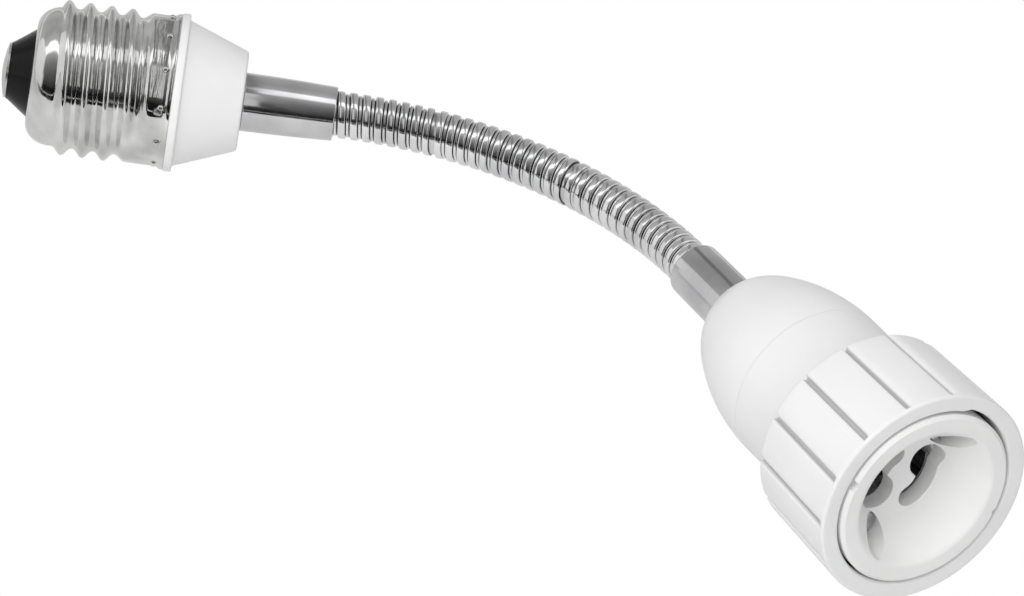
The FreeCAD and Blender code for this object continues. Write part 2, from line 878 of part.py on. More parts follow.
def wire_points(side, start):
    """The route from the cap through the neck's bore to a clip's lug, on the side +1 or -1 of the axis."""
    lift = Vector(0, 0, side * size.wire_offset.value)
    half_turn = math.radians(joint_turn.value / 2)
    bend_radius = link_length.value / 2 / math.tan(half_turn)
    corner = bend_radius * math.tan(math.radians(size.bend_total.value / 2))
    straight = neck_start.value + (size.hose_pitch * size.end_turns - link_length / 2).value
    turn_in = Vector(straight + corner, 0, 0) + lift
    socket = mouth.placement()
    clip_angle = size.pin_entry_angle.value - size.pin_twist.value + (180 if side > 0 else 0)
    radial, along = turned(size.lug_radius, clip_angle), turned(size.leaf_reach, clip_angle - 90)
    lug = Vector(clip_back.value, radial[0].value + along[0].value, radial[1].value + along[1].value)
    approach = Vector(-size.web_back.value, lug.y, lug.z)
    bend_off = Vector(-size.seam_back.value, 0, lift.z)
    points = start + [turn_in, socket.multVec(bend_off), socket.multVec(approach), socket.multVec(lug)]
    return points, bend_radius


clip_front = floor_back - size.seat_gap
clip_back = clip_front - size.leaf_height


def make_wires():
    """The live wire starts in the tip contact's rivet, the neutral wire at the shell's wall."""
    bend = size.wire_radius.value * 6
    lift = size.wire_offset.value
    tip = Vector(-(size.shell_length + size.insulator_length / 2).value, 0, 0)
    inside = Vector(-size.plug_length.value, 0, lift)
    ease = Vector(-size.shell_length.value * 0.6, 0, 0)
    points, neck_bend = wire_points(1, [tip, ease, inside])
    live = make_wire("live_wire", points, [bend * 4, bend * 4, neck_bend, bend * 3, bend])
    wall = size.thread_root_radius - size.shell_wall - size.wire_radius - size.running_gap
    angle = math.radians(size.solder_angle.value)
    across, up = wall.value * math.cos(angle), wall.value * math.sin(angle)
    joint = Vector(-size.neutral_joint_back.value, -across, up)
    forward = Vector(joint.x + bend, joint.y, joint.z)
    inside = Vector(0, 0, -lift)
    points, neck_bend = wire_points(-1, [joint, forward, inside])
    neutral = make_wire("neutral_wire", points, [bend * 0.6, bend * 0.6, neck_bend, bend * 3, bend])
    return [live, neutral]


# Assembly
def assemble():
    """Make every piece, set it in its place and give back the pieces in order."""
    collar_face = Place(Vector(collar_end.value, 0, 0), 0.0)
    collar_inside = Place(Vector((collar_end - size.collar_end_wall).value, 0, 0), 0.0)
    pieces = [make_screw_shell(), make_tip_insulator(), make_tip_contact(), make_side_solder(), make_base_collar()]
    ferrule = make_ferrule("cap_ferrule", size.ferrule_base_radius, size.ferrule_mouth_radius, size.ferrule_length)
    ferrule.Placement = collar_face.placement()
    nut = make_nut("cap_nut")
    nut.Placement = collar_inside.placement()
    hose_root = make_hose_piece("hose_root", size.end_turns, tail_before=True)
    hose_root.Placement = neck[0].placement()
    pieces += [ferrule, nut, hose_root]
    for number in range(1, int(size.link_count.value) + 1):
        link = make_hose_piece("hose_link_%02d" % number, size.turns_per_link)
        link.Placement = neck[number].placement()
        pieces.append(link)
    hose_end = make_hose_piece("hose_end", size.end_turns, tail_after=True)
    hose_end.Placement = neck[-1].placement()
    base, lip = size.ferrule_base_radius, size.socket_ferrule_mouth_radius
    socket_ferrule = make_ferrule("socket_ferrule", base, lip, size.socket_ferrule_length)
    socket_ferrule.Placement = dome_seat.placement(180)
    socket_nut = make_nut("socket_nut")
    inner_wall = dome_seat.moved((size.dome_end_wall + size.nut_thickness).value)
    socket_nut.Placement = inner_wall.placement()
    pieces += [hose_end, socket_ferrule, socket_nut]
    for piece in (make_rear_housing(), make_grip_housing(), make_socket_insert(), make_insert_screws()):
        piece.Placement = mouth.placement()
        pieces.append(piece)
    lock_angle = size.pin_entry_angle.value - size.pin_twist.value
    for name, angle in (("neutral_clip", lock_angle), ("live_clip", lock_angle + 180)):
        clip = make_contact_clip(name)
        across, up = turned(size.pin_circle_radius, angle)
        seat = Placement(Vector(clip_front.value, across.value, up.value), Rotation(Vector(1, 0, 0), angle))
        clip.Placement = mouth.placement().multiply(seat)
        pieces.append(clip)
    return pieces + make_wires()


pieces = assemble()
doc.recompute()

# Check and write every piece
for item in doc.Objects:
    if "Invalid" in item.State or "Error" in item.State:
        raise ValueError("%s is %s" % (item.Name, item.State))
for piece in pieces:
    if piece.Shape.isNull() or not piece.Shape.isValid() or not piece.Shape.Solids:
        raise ValueError("no valid solid in " + piece.Label)
os.makedirs("parts", exist_ok=True)
for piece in pieces:
    piece.Shape.exportStep("parts/%s.step" % piece.Label)
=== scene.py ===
# %% [markdown]
# A lamp socket adapter: a screw cap that goes into a lamp holder, a bendable metal neck and a socket for
# a twist-lock lamp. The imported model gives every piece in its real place, and this lesson gives each one
# its looks. Blender's lengths here are metres. The pieces' sizes are named in millimetres, and MM turns them
# into metres where a mesh is made.

# %% Load the model
import json
import math
import bpy
import bmesh
from mathutils import Matrix, Vector

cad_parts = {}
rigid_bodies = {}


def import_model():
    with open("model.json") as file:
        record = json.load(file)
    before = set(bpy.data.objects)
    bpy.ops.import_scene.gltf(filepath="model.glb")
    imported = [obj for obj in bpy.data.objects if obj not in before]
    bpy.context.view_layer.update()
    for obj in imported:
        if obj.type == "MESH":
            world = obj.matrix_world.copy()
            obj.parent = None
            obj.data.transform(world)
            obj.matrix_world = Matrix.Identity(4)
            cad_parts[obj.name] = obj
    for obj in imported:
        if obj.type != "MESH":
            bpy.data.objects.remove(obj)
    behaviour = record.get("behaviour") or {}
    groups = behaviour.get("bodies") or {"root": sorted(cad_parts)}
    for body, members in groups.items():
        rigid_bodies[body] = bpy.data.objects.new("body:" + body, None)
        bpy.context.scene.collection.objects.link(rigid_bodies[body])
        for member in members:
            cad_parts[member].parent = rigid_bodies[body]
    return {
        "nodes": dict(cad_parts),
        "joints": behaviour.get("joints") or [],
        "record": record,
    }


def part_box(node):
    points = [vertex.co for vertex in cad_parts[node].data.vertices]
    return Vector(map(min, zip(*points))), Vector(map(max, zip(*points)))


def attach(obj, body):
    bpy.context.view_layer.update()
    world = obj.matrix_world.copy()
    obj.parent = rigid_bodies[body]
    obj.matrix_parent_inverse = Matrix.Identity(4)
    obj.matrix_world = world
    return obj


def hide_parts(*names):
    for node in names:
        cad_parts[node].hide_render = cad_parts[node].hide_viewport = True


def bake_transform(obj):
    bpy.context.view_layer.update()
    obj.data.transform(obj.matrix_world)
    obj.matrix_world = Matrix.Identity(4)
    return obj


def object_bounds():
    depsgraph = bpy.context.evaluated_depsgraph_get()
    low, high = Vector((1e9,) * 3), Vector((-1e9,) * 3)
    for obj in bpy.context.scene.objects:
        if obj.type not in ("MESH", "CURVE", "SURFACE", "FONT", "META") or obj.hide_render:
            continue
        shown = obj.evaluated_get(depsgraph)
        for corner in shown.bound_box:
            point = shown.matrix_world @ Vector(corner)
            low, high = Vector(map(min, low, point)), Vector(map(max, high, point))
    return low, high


MM = 0.001
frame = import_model()
cad_low, cad_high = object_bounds()
print("model box in mm:", [round(v / MM, 1) for v in cad_high - cad_low])

# %% [markdown]
# The camera comes first, because every later choice is judged through it. The photograph was taken with a
# long lens, a little above the object and rolled to one side. A long lens far away could be copied with an
# orthographic camera, but the socket's mouth is nearer than the cap and shows slightly larger, so a real
# perspective at 2.5 m is used. The view is turned, and not shifted, to bring the object to its place.

# %% Camera
PHOTO_WIDTH, PHOTO_HEIGHT = 1024, 596
FLANGE_PIXEL_X, FLANGE_PIXEL_Y = 177.0, 92.6
PIXELS_PER_MM = 5.87
FLANGE_CENTRE = Vector((0.72 * MM, 0, 0))
LOOK_DOWN = math.radians(32)
ROLL = math.radians(7.7)
CAMERA_DISTANCE = 2.5
SENSOR_WIDTH = 36.0

look = Vector((0, math.sin(LOOK_DOWN), math.cos(LOOK_DOWN)))
view_right = Vector((math.cos(ROLL), 0, 0)) + look * math.sin(ROLL)
view_up = Vector((-math.sin(ROLL), 0, 0)) + look * math.cos(ROLL)
view_back = view_right.cross(view_up)
eye = FLANGE_CENTRE + view_back * CAMERA_DISTANCE
aim = FLANGE_CENTRE
aim += view_right * ((PHOTO_WIDTH / 2 - FLANGE_PIXEL_X) / PIXELS_PER_MM * MM)
aim += view_up * ((FLANGE_PIXEL_Y - PHOTO_HEIGHT / 2) / PIXELS_PER_MM * MM)
ahead = (aim - eye).normalized()
across = ahead.cross(view_up).normalized()
turn = Matrix((across, across.cross(ahead), -ahead)).transposed()

camera = bpy.data.objects.new("camera", bpy.data.cameras.new("camera"))
camera.data.sensor_width = SENSOR_WIDTH
camera.data.lens = SENSOR_WIDTH * PIXELS_PER_MM * CAMERA_DISTANCE / MM / PHOTO_WIDTH
camera.matrix_world = Matrix.Translation(eye) @ turn.to_4x4()
bpy.context.scene.collection.objects.link(camera)
bpy.context.scene.camera = camera
bpy.context.scene.view_settings.view_transform = "Standard"
print("lens in mm:", round(camera.data.lens, 1))

# %% [markdown]
# The studio starts with a white world and a white floor. White plastic on white needs soft light from all
# round, but a world at full strength would wash its shape out. So the world is white for the camera and
# for mirrors, and a little over half as strong for the light that it gives. The floor lies well below the
# object: the adapter is held by its cap, and a bent neck lets the socket swing down.

# %% Studio helpers
def node_tree(owner):
    """The emptied nodes and links of a material or a world."""
    owner.use_nodes = True
    owner.node_tree.nodes.clear()
    return owner.node_tree.nodes, owner.node_tree.links


def mesh_object(name, corners, faces):
    """A smooth mesh in the scene, made from its corner points and faces."""
    mesh = bpy.data.meshes.new(name)
    mesh.from_pydata([tuple(c) for c in corners], [], faces)
    mesh.update()
    mesh.shade_smooth()
    made = bpy.data.objects.new(name, mesh)
    bpy.context.scene.collection.objects.link(made)
    return made


def background_share(nodes, links):
    """1 for rays from the camera, a mirror or glass, and 0 for the rays that carry diffuse light."""
    path = nodes.new("ShaderNodeLightPath")
    either = nodes.new("ShaderNodeMath")
    either.operation = "MAXIMUM"
    links.new(path.outputs["Is Camera Ray"], either.inputs[0])
    links.new(path.outputs["Is Glossy Ray"], either.inputs[1])
    all_three = nodes.new("ShaderNodeMath")
    all_three.operation = "MAXIMUM"
    links.new(either.outputs[0], all_three.inputs[0])
    links.new(path.outputs["Is Transmission Ray"], all_three.inputs[1])
    return all_three.outputs[0]


# %% White room and floor
AMBIENT = 0.56
FLOOR_SIZE = 3.0
FLOOR_DROP = 0.13
FLOOR_COLOUR = (0.78, 0.78, 0.78, 1)
# the camera sees this share of an even white glow, and the rest from lit paper, which keeps the shadow
FLOOR_GLOW, FLOOR_GLOW_SHARE = 1.06, 0.86

world = bpy.data.worlds.new("white_room")
bpy.context.scene.world = world
nodes, links = node_tree(world)
sky = nodes.new("ShaderNodeBackground")
glow = nodes.new("ShaderNodeMix")
glow.inputs["A"].default_value = AMBIENT
glow.inputs["B"].default_value = 1.0
links.new(background_share(nodes, links), glow.inputs["Factor"])
links.new(glow.outputs["Result"], sky.inputs["Strength"])
links.new(sky.outputs[0], nodes.new("ShaderNodeOutputWorld").inputs[0])

floor_height = cad_low.z - FLOOR_DROP
half = FLOOR_SIZE / 2
floor = mesh_object("floor", [(-half, -half, floor_height), (half, -half, floor_height),
                              (half, half, floor_height), (-half, half, floor_height)], [(0, 1, 2, 3)])
paper = bpy.data.materials.new("white_paper")
nodes, links = node_tree(paper)
matt = nodes.new("ShaderNodeBsdfDiffuse")
matt.inputs["Color"].default_value = FLOOR_COLOUR
bright = nodes.new("ShaderNodeEmission")
bright.inputs["Strength"].default_value = FLOOR_GLOW
blend = nodes.new("ShaderNodeMixShader")
path = nodes.new("ShaderNodeLightPath")
share = nodes.new("ShaderNodeMath")
share.operation = "MULTIPLY"
share.inputs[1].default_value = FLOOR_GLOW_SHARE
links.new(path.outputs["Is Camera Ray"], share.inputs[0])
links.new(share.outputs[0], blend.inputs[0])
links.new(matt.outputs[0], blend.inputs[1])
links.new(bright.outputs[0], blend.inputs[2])
links.new(blend.outputs[0], nodes.new("ShaderNodeOutputMaterial").inputs[0])
floor.data.materials.append(paper)
print("floor height in mm:", round(floor_height / MM, 2))

# %% [markdown]
# Bright metal shows nothing but what stands round it, so its streaks are made by the room and not by the
# metal. The room here is a half pipe of card over the object, running along the cap's axis: black low in
# front, a dark grey that grows lighter upward, a narrow bright panel overhead and a middle grey behind.
# The wide shell needs other bands than the thin neck, so two more cards stand inside the pipe and end
# before the ferrule. A black card lies low in front. Only reflections see any of these.

# %% Card half pipe, seen by reflections alone
PIPE_RADIUS = 0.9
PIPE_HALF_LENGTH = 1.3
PIPE_CENTRE = Vector((0.06, -0.045, 0))
PIPE_STEPS = 60
# elevation in degrees from the front (0) over the top (90) to the back (180), and the card's brightness
PIPE_TONES = [(0, 0.010), (10, 0.012), (15, 0.05), (30, 0.09), (52, 0.20), (74, 0.42), (80, 1.25), (96, 1.40),
              (101, 0.50), (125, 0.38), (180, 0.48)]


def reflection_only(card):
    """Hide a card from the camera and from diffuse light, and let it cast no shadow."""
    card.visible_camera = False
    card.visible_diffuse = False
    card.visible_shadow = False


corners, faces = [], []
for step in range(PIPE_STEPS + 1):
    angle = math.pi * step / PIPE_STEPS
    for side in (-1, 1):
        corners.append((side * PIPE_HALF_LENGTH, -PIPE_RADIUS * math.cos(angle), PIPE_RADIUS * math.sin(angle)))
for step in range(PIPE_STEPS):
    faces.append((2 * step, 2 * step + 1, 2 * step + 3, 2 * step + 2))
pipe = mesh_object("card_pipe", corners, faces)
pipe.location = PIPE_CENTRE
card = bpy.data.materials.new("toned_card")
nodes, links = node_tree(card)
place = nodes.new("ShaderNodeTexCoord")
parts = nodes.new("ShaderNodeSeparateXYZ")
links.new(place.outputs["Object"], parts.inputs[0])
front = nodes.new("ShaderNodeMath")
front.operation = "MULTIPLY"
front.inputs[1].default_value = -1
links.new(parts.outputs["Y"], front.inputs[0])
elevation = nodes.new("ShaderNodeMath")
elevation.operation = "ARCTAN2"
links.new(parts.outputs["Z"], elevation.inputs[0])
links.new(front.outputs[0], elevation.inputs[1])
turned_part = nodes.new("ShaderNodeMath")
turned_part.operation = "DIVIDE"
turned_part.inputs[1].default_value = math.pi
links.new(elevation.outputs[0], turned_part.inputs[0])
tones = nodes.new("ShaderNodeValToRGB")
ramp = tones.color_ramp
for number, (degrees, tone) in enumerate(PIPE_TONES):
    stop = ramp.elements[number] if number < 2 else ramp.elements.new(degrees / 180)
    stop.position = degrees / 180
    stop.color = (tone, tone, tone, 1)
links.new(turned_part.outputs[0], tones.inputs[0])
light = nodes.new("ShaderNodeEmission")
links.new(tones.outputs[0], light.inputs["Color"])
links.new(light.outputs[0], nodes.new("ShaderNodeOutputMaterial").inputs[0])
pipe.data.materials.append(card)
reflection_only(pipe)

# the wide shell sees two more cards, which end before the ferrule: start and stop in degrees, and tone
SHELL_CARDS = [("bright_shell_card", 20, 70, 0.66), ("grey_shell_card", 73, 168, 0.22)]
SHELL_CARD_START, SHELL_CARD_END = -0.14, 0.004
SHELL_CARD_RADIUS = 0.97 * PIPE_RADIUS
SHELL_CARD_STEPS = 12
for name, start, stop, tone in SHELL_CARDS:
    corners = []
    for step in range(SHELL_CARD_STEPS + 1):
        angle = math.radians(start + (stop - start) * step / SHELL_CARD_STEPS)
        out = Vector((0, -math.cos(angle), math.sin(angle))) * SHELL_CARD_RADIUS
        for x in (SHELL_CARD_START, SHELL_CARD_END):
            corners.append(out + Vector((x, PIPE_CENTRE.y, PIPE_CENTRE.z)))
    faces = [(2 * step, 2 * step + 1, 2 * step + 3, 2 * step + 2) for step in range(SHELL_CARD_STEPS)]
    made = mesh_object(name, corners, faces)
    paint = bpy.data.materials.new(name)
    nodes, links = node_tree(paint)
    glow = nodes.new("ShaderNodeEmission")
    glow.inputs["Color"].default_value = (tone, tone, tone, 1)
    links.new(glow.outputs[0], nodes.new("ShaderNodeOutputMaterial").inputs[0])
    made.data.materials.append(paint)
    reflection_only(made)

FOOT_LEFT, FOOT_RIGHT = -1.2, 1.3
FOOT_NEAR, FOOT_FAR = -0.14, -0.95
FOOT_LIFT = 0.35
foot_height = cad_low.z + FOOT_LIFT * MM
foot_corners = [(FOOT_LEFT, FOOT_FAR, foot_height), (FOOT_RIGHT, FOOT_FAR, foot_height),
                (FOOT_RIGHT, FOOT_NEAR, foot_height), (FOOT_LEFT, FOOT_NEAR, foot_height)]
foot = mesh_object("black_foot_card", foot_corners, [(0, 1, 2, 3)])
black = bpy.data.materials.new("black_card")
nodes, links = node_tree(black)
dark = nodes.new("ShaderNodeBsdfDiffuse")
dark.inputs["Color"].default_value = (0.012, 0.012, 0.012, 1)
links.new(dark.outputs[0], nodes.new("ShaderNodeOutputMaterial").inputs[0])
foot.data.materials.append(black)
reflection_only(foot)
print("cards seen by reflections:", 2 + len(SHELL_CARDS))

# %% [markdown]
# The lamps model the white plastic. Large square lamps give the soft edges of a product photograph. The
# strongest two stand over the camera and to its left, one shines from the top, one into the socket's mouth
# and a weak one from behind. Mirrors don't see them, because the card does that work.


# %% Lamps
def soft_lamp(name, place, size, watts):
    """A square soft lamp aimed at the object and kept out of reflections."""
    lamp = bpy.data.objects.new(name, bpy.data.lights.new(name, "AREA"))
    lamp.data.size = size
    lamp.data.energy = watts
    lamp.location = place
    lamp.rotation_euler = (PIPE_CENTRE - Vector(place)).to_track_quat("-Z", "Y").to_euler()
    lamp.visible_glossy = False
    bpy.context.scene.collection.objects.link(lamp)
    return lamp


soft_lamp("lamp_left_front", (-0.9, -0.9, 0.7), 0.8, 4.0)
soft_lamp("lamp_over_camera", (-0.25, -0.95, 0.85), 0.5, 4.6)
soft_lamp("lamp_top", (0.1, -0.2, 1.2), 0.9, 2.6)
soft_lamp("lamp_mouth", (0.5, -1.3, 0.35), 0.7, 2.0)
soft_lamp("lamp_behind", (0.2, 1.2, 0.8), 0.9, 2.2)

# %% [markdown]
# Finishes. Each one starts from the Principled shader and gets the small unevenness that the real surface
# shows, from noise read in the object's own space, so that it keeps its size and stays put on the piece.
# A texture picture could do this too, but procedural noise has no seams and needs no unwrapping.

# %% Finish helpers
# noise hardly leaves this range, so it is stretched from here to the whole range of a look
NOISE_LOW, NOISE_HIGH = 0.35, 0.65


def new_finish(name, colour, roughness, metallic=0.0):
    """A material with one Principled shader, and the nodes to build on."""
    made = bpy.data.materials.new(name)
    nodes, links = node_tree(made)
    shader = nodes.new("ShaderNodeBsdfPrincipled")
    shader.inputs["Base Color"].default_value = (*colour, 1)
    shader.inputs["Roughness"].default_value = roughness
    shader.inputs["Metallic"].default_value = metallic
    links.new(shader.outputs[0], nodes.new("ShaderNodeOutputMaterial").inputs[0])
    return made, nodes, links, shader


def grain(nodes, links, scale, detail, stretch=(1, 1, 1), turn_z=0.0):
    """Noise in the object's own space. stretch above 1 packs it closer along that axis."""
    place = nodes.new("ShaderNodeTexCoord")
    shape = nodes.new("ShaderNodeMapping")
    shape.vector_type = "TEXTURE" if turn_z else "POINT"
    if turn_z:
        shape.inputs["Rotation"].default_value = (0, 0, turn_z)
        shape.inputs["Scale"].default_value = tuple(1 / s for s in stretch)
    else:
        shape.inputs["Scale"].default_value = stretch
    noise = nodes.new("ShaderNodeTexNoise")
    noise.inputs["Scale"].default_value = scale
    noise.inputs["Detail"].default_value = detail
    links.new(place.outputs["Object"], shape.inputs["Vector"])
    links.new(shape.outputs[0], noise.inputs["Vector"])
    return noise.outputs[0]


def spread(nodes, links, source, low, high):
    """Map noise to a range of values."""
    fit = nodes.new("ShaderNodeMapRange")
    fit.inputs["From Min"].default_value = NOISE_LOW
    fit.inputs["From Max"].default_value = NOISE_HIGH
    fit.inputs["To Min"].default_value = low
    fit.inputs["To Max"].default_value = high
    links.new(source, fit.inputs["Value"])
    return fit.outputs[0]


def two_tones(nodes, links, source, dark, light):
    """Mix two colours by noise."""
    mix = nodes.new("ShaderNodeMix")
    mix.data_type = "RGBA"
    mix.inputs["A"].default_value = (*dark, 1)
    mix.inputs["B"].default_value = (*light, 1)
    links.new(spread(nodes, links, source, 0, 1), mix.inputs["Factor"])
    return mix.outputs["Result"]


def relief(nodes, links, shader, source, height):
    """Bump from noise, with its height in metres."""
    bump = nodes.new("ShaderNodeBump")
    bump.inputs["Distance"].default_value = height
    links.new(source, bump.inputs["Height"])
    links.new(bump.outputs[0], shader.inputs["Normal"])


# %% [markdown]
# The metals differ in how they were made. The shell is rolled nickelled sheet: bright, with wide shallow
# dents that let its reflections wander. The ferrules are turned and chromed, with fine lines round the
# barrel. The neck's strip is chromed too, a little duller, with painted shade in its crevices. Nuts, screws
# and clips are plain plated steel. One helper makes them all, and dents and painted shade are added where they
# belong.

# %% Metals
STREAK_SCALE, PATCH_SCALE = 260, 130


def bright_metal(name, dark, light, smooth, rough, streak_stretch, wave, turn_z=0.0):
    """Plated metal: streaks along the way it was drawn or rolled, slight waviness, and duller patches."""
    made, nodes, links, shader = new_finish(name, light, smooth, metallic=1.0)
    streaks = grain(nodes, links, STREAK_SCALE, 4, streak_stretch, turn_z)
    patches = grain(nodes, links, PATCH_SCALE, 5)
    links.new(two_tones(nodes, links, patches, dark, light), shader.inputs["Base Color"])
    links.new(spread(nodes, links, streaks, smooth, rough), shader.inputs["Roughness"])
    relief(nodes, links, shader, streaks, wave * MM)
    return made


CHROME_LOOK = ((0.60, 0.60, 0.61), (0.74, 0.74, 0.75), 0.07, 0.17, (0.5, 4, 4), 0.003)
SOCKET_TURN = math.radians(-56)
nickel = bright_metal("rolled_nickel_plate", (0.62, 0.62, 0.61), (0.92, 0.92, 0.91), 0.04, 0.14,
                      (3.5, 0.5, 0.5), 0.05)
contact_tin = bright_metal("brushed_tin", (0.55, 0.55, 0.54), (0.78, 0.78, 0.77), 0.22, 0.42, (1, 6, 1), 0.01)
solder_grey = bright_metal("solder_drop", (0.42, 0.42, 0.42), (0.78, 0.78, 0.78), 0.12, 0.40, (2, 2, 2), 0.03)
ferrule_chrome = bright_metal("polished_chrome", *CHROME_LOOK)
far_chrome = bright_metal("polished_chrome_far", *CHROME_LOOK, SOCKET_TURN)
strip_chrome = bright_metal("chromed_strip", (0.74, 0.74, 0.75), (0.96, 0.96, 0.96), 0.08, 0.20,
                            (2, 1, 1), 0.01)
nut_steel = bright_metal("zinc_nut", (0.45, 0.45, 0.46), (0.66, 0.66, 0.68), 0.25, 0.45, (1, 1, 1), 0.01)
screw_steel = bright_metal("nickelled_screw", (0.45, 0.45, 0.46), (0.72, 0.72, 0.73), 0.15, 0.35,
                           (1, 3, 3), 0.01)
clip_metal = bright_metal("spring_strip", (0.30, 0.30, 0.30), (0.50, 0.50, 0.49), 0.20, 0.40, (1, 1, 5), 0.01)


# %% Dents and painted crevice shade
# the colour of the painted shade in crevices, gaps and seams
PAINTED_SHADE_COLOUR = (0.02, 0.02, 0.02, 1)


def dent(finish, scale, height):
    """Wide shallow dents under the finer relief, so that reflections wander as on thin rolled sheet."""
    nodes, links = finish.node_tree.nodes, finish.node_tree.links
    fine = nodes["Bump"]
    wide = nodes.new("ShaderNodeBump")
    wide.inputs["Distance"].default_value = height * MM
    links.new(grain(nodes, links, scale, 2), wide.inputs["Height"])
    links.new(wide.outputs[0], fine.inputs["Normal"])


def paint_crevice_shade(finish):
    """Where a mesh says that it is deep, the surface is painted dark as shade, in metal and in plastic alike.
    """
    nodes, links = finish.node_tree.nodes, finish.node_tree.links
    shader = nodes["Principled BSDF"]
    plain = shader.inputs["Base Color"].links[0].from_socket
    depth = nodes.new("ShaderNodeAttribute")
    depth.attribute_name = "crevice"
    mix = nodes.new("ShaderNodeMix")
    mix.data_type = "RGBA"
    links.new(depth.outputs["Fac"], mix.inputs["Factor"])
    links.new(plain, mix.inputs["A"])
    mix.inputs["B"].default_value = PAINTED_SHADE_COLOUR
    links.new(mix.outputs["Result"], shader.inputs["Base Color"])


dent(nickel, 150, 0.16)
dent(strip_chrome, 500, 0.03)
# the strip's crevices get painted shade
paint_crevice_shade(strip_chrome)
print("metals made:", len([m for m in bpy.data.materials if "Bump" in m.node_tree.nodes]))

# %% [markdown]
# The bodies that aren't metal: moulded white plastic, the fired ceramic of the insert, the black glass at
# the cap's end and the wires' silicone sleeves. They share one build, too: two close tones, uneven gloss
# and a fine skin. The grip ring has a plastic of its own, whose grooves are painted darker as shade.

# %% Glass, plastic, ceramic and sleeves
MOTTLE_SCALE, GLOSS_SCALE = 60, 400
GLASS_SHINE = 0.2


def smooth_body(name, dark, light, smooth, rough, grain_scale, height):
    """A hardly visible mottle, uneven gloss and a fine skin."""
    made, nodes, links, shader = new_finish(name, light, smooth)
    mottle = grain(nodes, links, MOTTLE_SCALE, 4)
    links.new(two_tones(nodes, links, mottle, dark, light), shader.inputs["Base Color"])
    gloss = grain(nodes, links, GLOSS_SCALE, 3)
    links.new(spread(nodes, links, gloss, smooth, rough), shader.inputs["Roughness"])
    relief(nodes, links, shader, grain(nodes, links, grain_scale, 2), height * MM)
    return made


PLASTIC_LOOK = ((0.86, 0.86, 0.86), (0.89, 0.89, 0.89), 0.28, 0.40, 1500, 0.004)
white_plastic = smooth_body("white_plastic", *PLASTIC_LOOK)
grooved_plastic = smooth_body("white_plastic_grooved", *PLASTIC_LOOK)
# the grip housing's grooves and the seam round the insert get painted shade
paint_crevice_shade(grooved_plastic)
white_ceramic = smooth_body("white_steatite", (0.87, 0.87, 0.865), (0.91, 0.91, 0.905), 0.40, 0.58, 3500, 0.01)
black_glass = smooth_body("black_glass", (0.003, 0.003, 0.003), (0.008, 0.008, 0.008), 0.10, 0.22, 500, 0.01)
black_glass.node_tree.nodes["Principled BSDF"].inputs["Specular IOR Level"].default_value = GLASS_SHINE
live_sleeve = smooth_body("brown_sleeve", (0.16, 0.05, 0.025), (0.24, 0.08, 0.04), 0.45, 0.6, 2500, 0.01)
neutral_sleeve = smooth_body("blue_sleeve", (0.03, 0.09, 0.28), (0.05, 0.14, 0.38), 0.45, 0.6, 2500, 0.01)
print("finishes in all:", len([m for m in bpy.data.materials if "Principled BSDF" in m.node_tree.nodes]))

# %% [markdown]
# Nine nodes of the model have all their shape already, and only need a finish: the black insulator and its
# contact, the nuts, the rear housing, the ceramic insert with its screws, and the two clips.

# %% Give the carried nodes their finish
FINISH_OF_NODE = {
    "tip_insulator": black_glass,
    "tip_contact": contact_tin,
    "cap_nut": nut_steel,
    "socket_nut": nut_steel,
    "rear_housing": white_plastic,
    "socket_insert": white_ceramic,
    "insert_screws": screw_steel,
    "live_clip": clip_metal,
    "neutral_clip": clip_metal,
}
for name, finish in FINISH_OF_NODE.items():
    node = frame["nodes"][name]
    node.data.materials.clear()
    node.data.materials.append(finish)
print("nodes with a finish:", sorted(FINISH_OF_NODE))

# %% [markdown]
# Turned pieces. The collar, the ferrules and the shell are all round, so each is an outline spun about an
# axis. Blender's Screw modifier does the same, but a small helper of our own lets a radius change with the
# angle, which the thread and the ribs need. The outline's corners are softened first, since a real edge
# is never sharp and a soft edge catches the light.

# %% Lathe helper
CORNER_SHARE = 0.48
WELD_DISTANCE = 0.0005


def softened(outline, steps=4):
    """Replace each corner (along, radius, rounding) of a closed outline by a short arc of points."""
    points = []
    count = len(outline)
    for index in range(count):
        here = Vector(outline[index][:2])
        rounding = outline[index][2] if len(outline[index]) > 2 else 0
        before = (Vector(outline[index - 1][:2]) - here)
        after = (Vector(outline[(index + 1) % count][:2]) - here)
        if rounding <= 0:
            points.append(here)
            continue
        reach = min(rounding, before.length * CORNER_SHARE, after.length * CORNER_SHARE)
        start, stop = here + before.normalized() * reach, here + after.normalized() * reach
        for step in range(steps + 1):
            t = step / steps
            points.append(start * (1 - t) ** 2 + here * (2 * t * (1 - t)) + stop * t ** 2)
    return points


def even_angles(steps):
    """The angles of an even round."""
    return [2 * math.pi * step / steps for step in range(steps)]


def spun(name, outline, place, angles, radius_at=None):
    """Spin a closed outline in millimetres about the X axis of place. radius_at may change a radius."""
    count, rows = len(angles), len(outline)
    corners = []
    for along, radius in outline:
        for angle in angles:
            x, r = (along, radius) if radius_at is None else radius_at(along, radius, angle)
            corners.append(place @ Vector((x * MM, r * MM * math.cos(angle), r * MM * math.sin(angle))))
    faces = []
    for row in range(rows):
        low, high = row * count, (row + 1) % rows * count
        for step in range(count):
            following = (step + 1) % count
            faces.append((low + step, low + following, high + following, high + step))
    made = mesh_object(name, corners, faces)
    mesh = bmesh.new()
    mesh.from_mesh(made.data)
    bmesh.ops.remove_doubles(mesh, verts=mesh.verts, dist=WELD_DISTANCE * MM)
    bmesh.ops.recalc_face_normals(mesh, faces=mesh.faces)
    mesh.to_mesh(made.data)
    mesh.free()
    made.data.shade_smooth()
    return made


def finished(made, finish, body, slot, *nodes):
    """Give a piece its material, its body and the nodes that it stands for, which are hidden. slot is not used.
    """
    made.data.materials.append(finish)
    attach(made, body)
    if nodes:
        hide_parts(*nodes)
    print(made.name, "has", len(made.data.polygons), "faces")
    return made


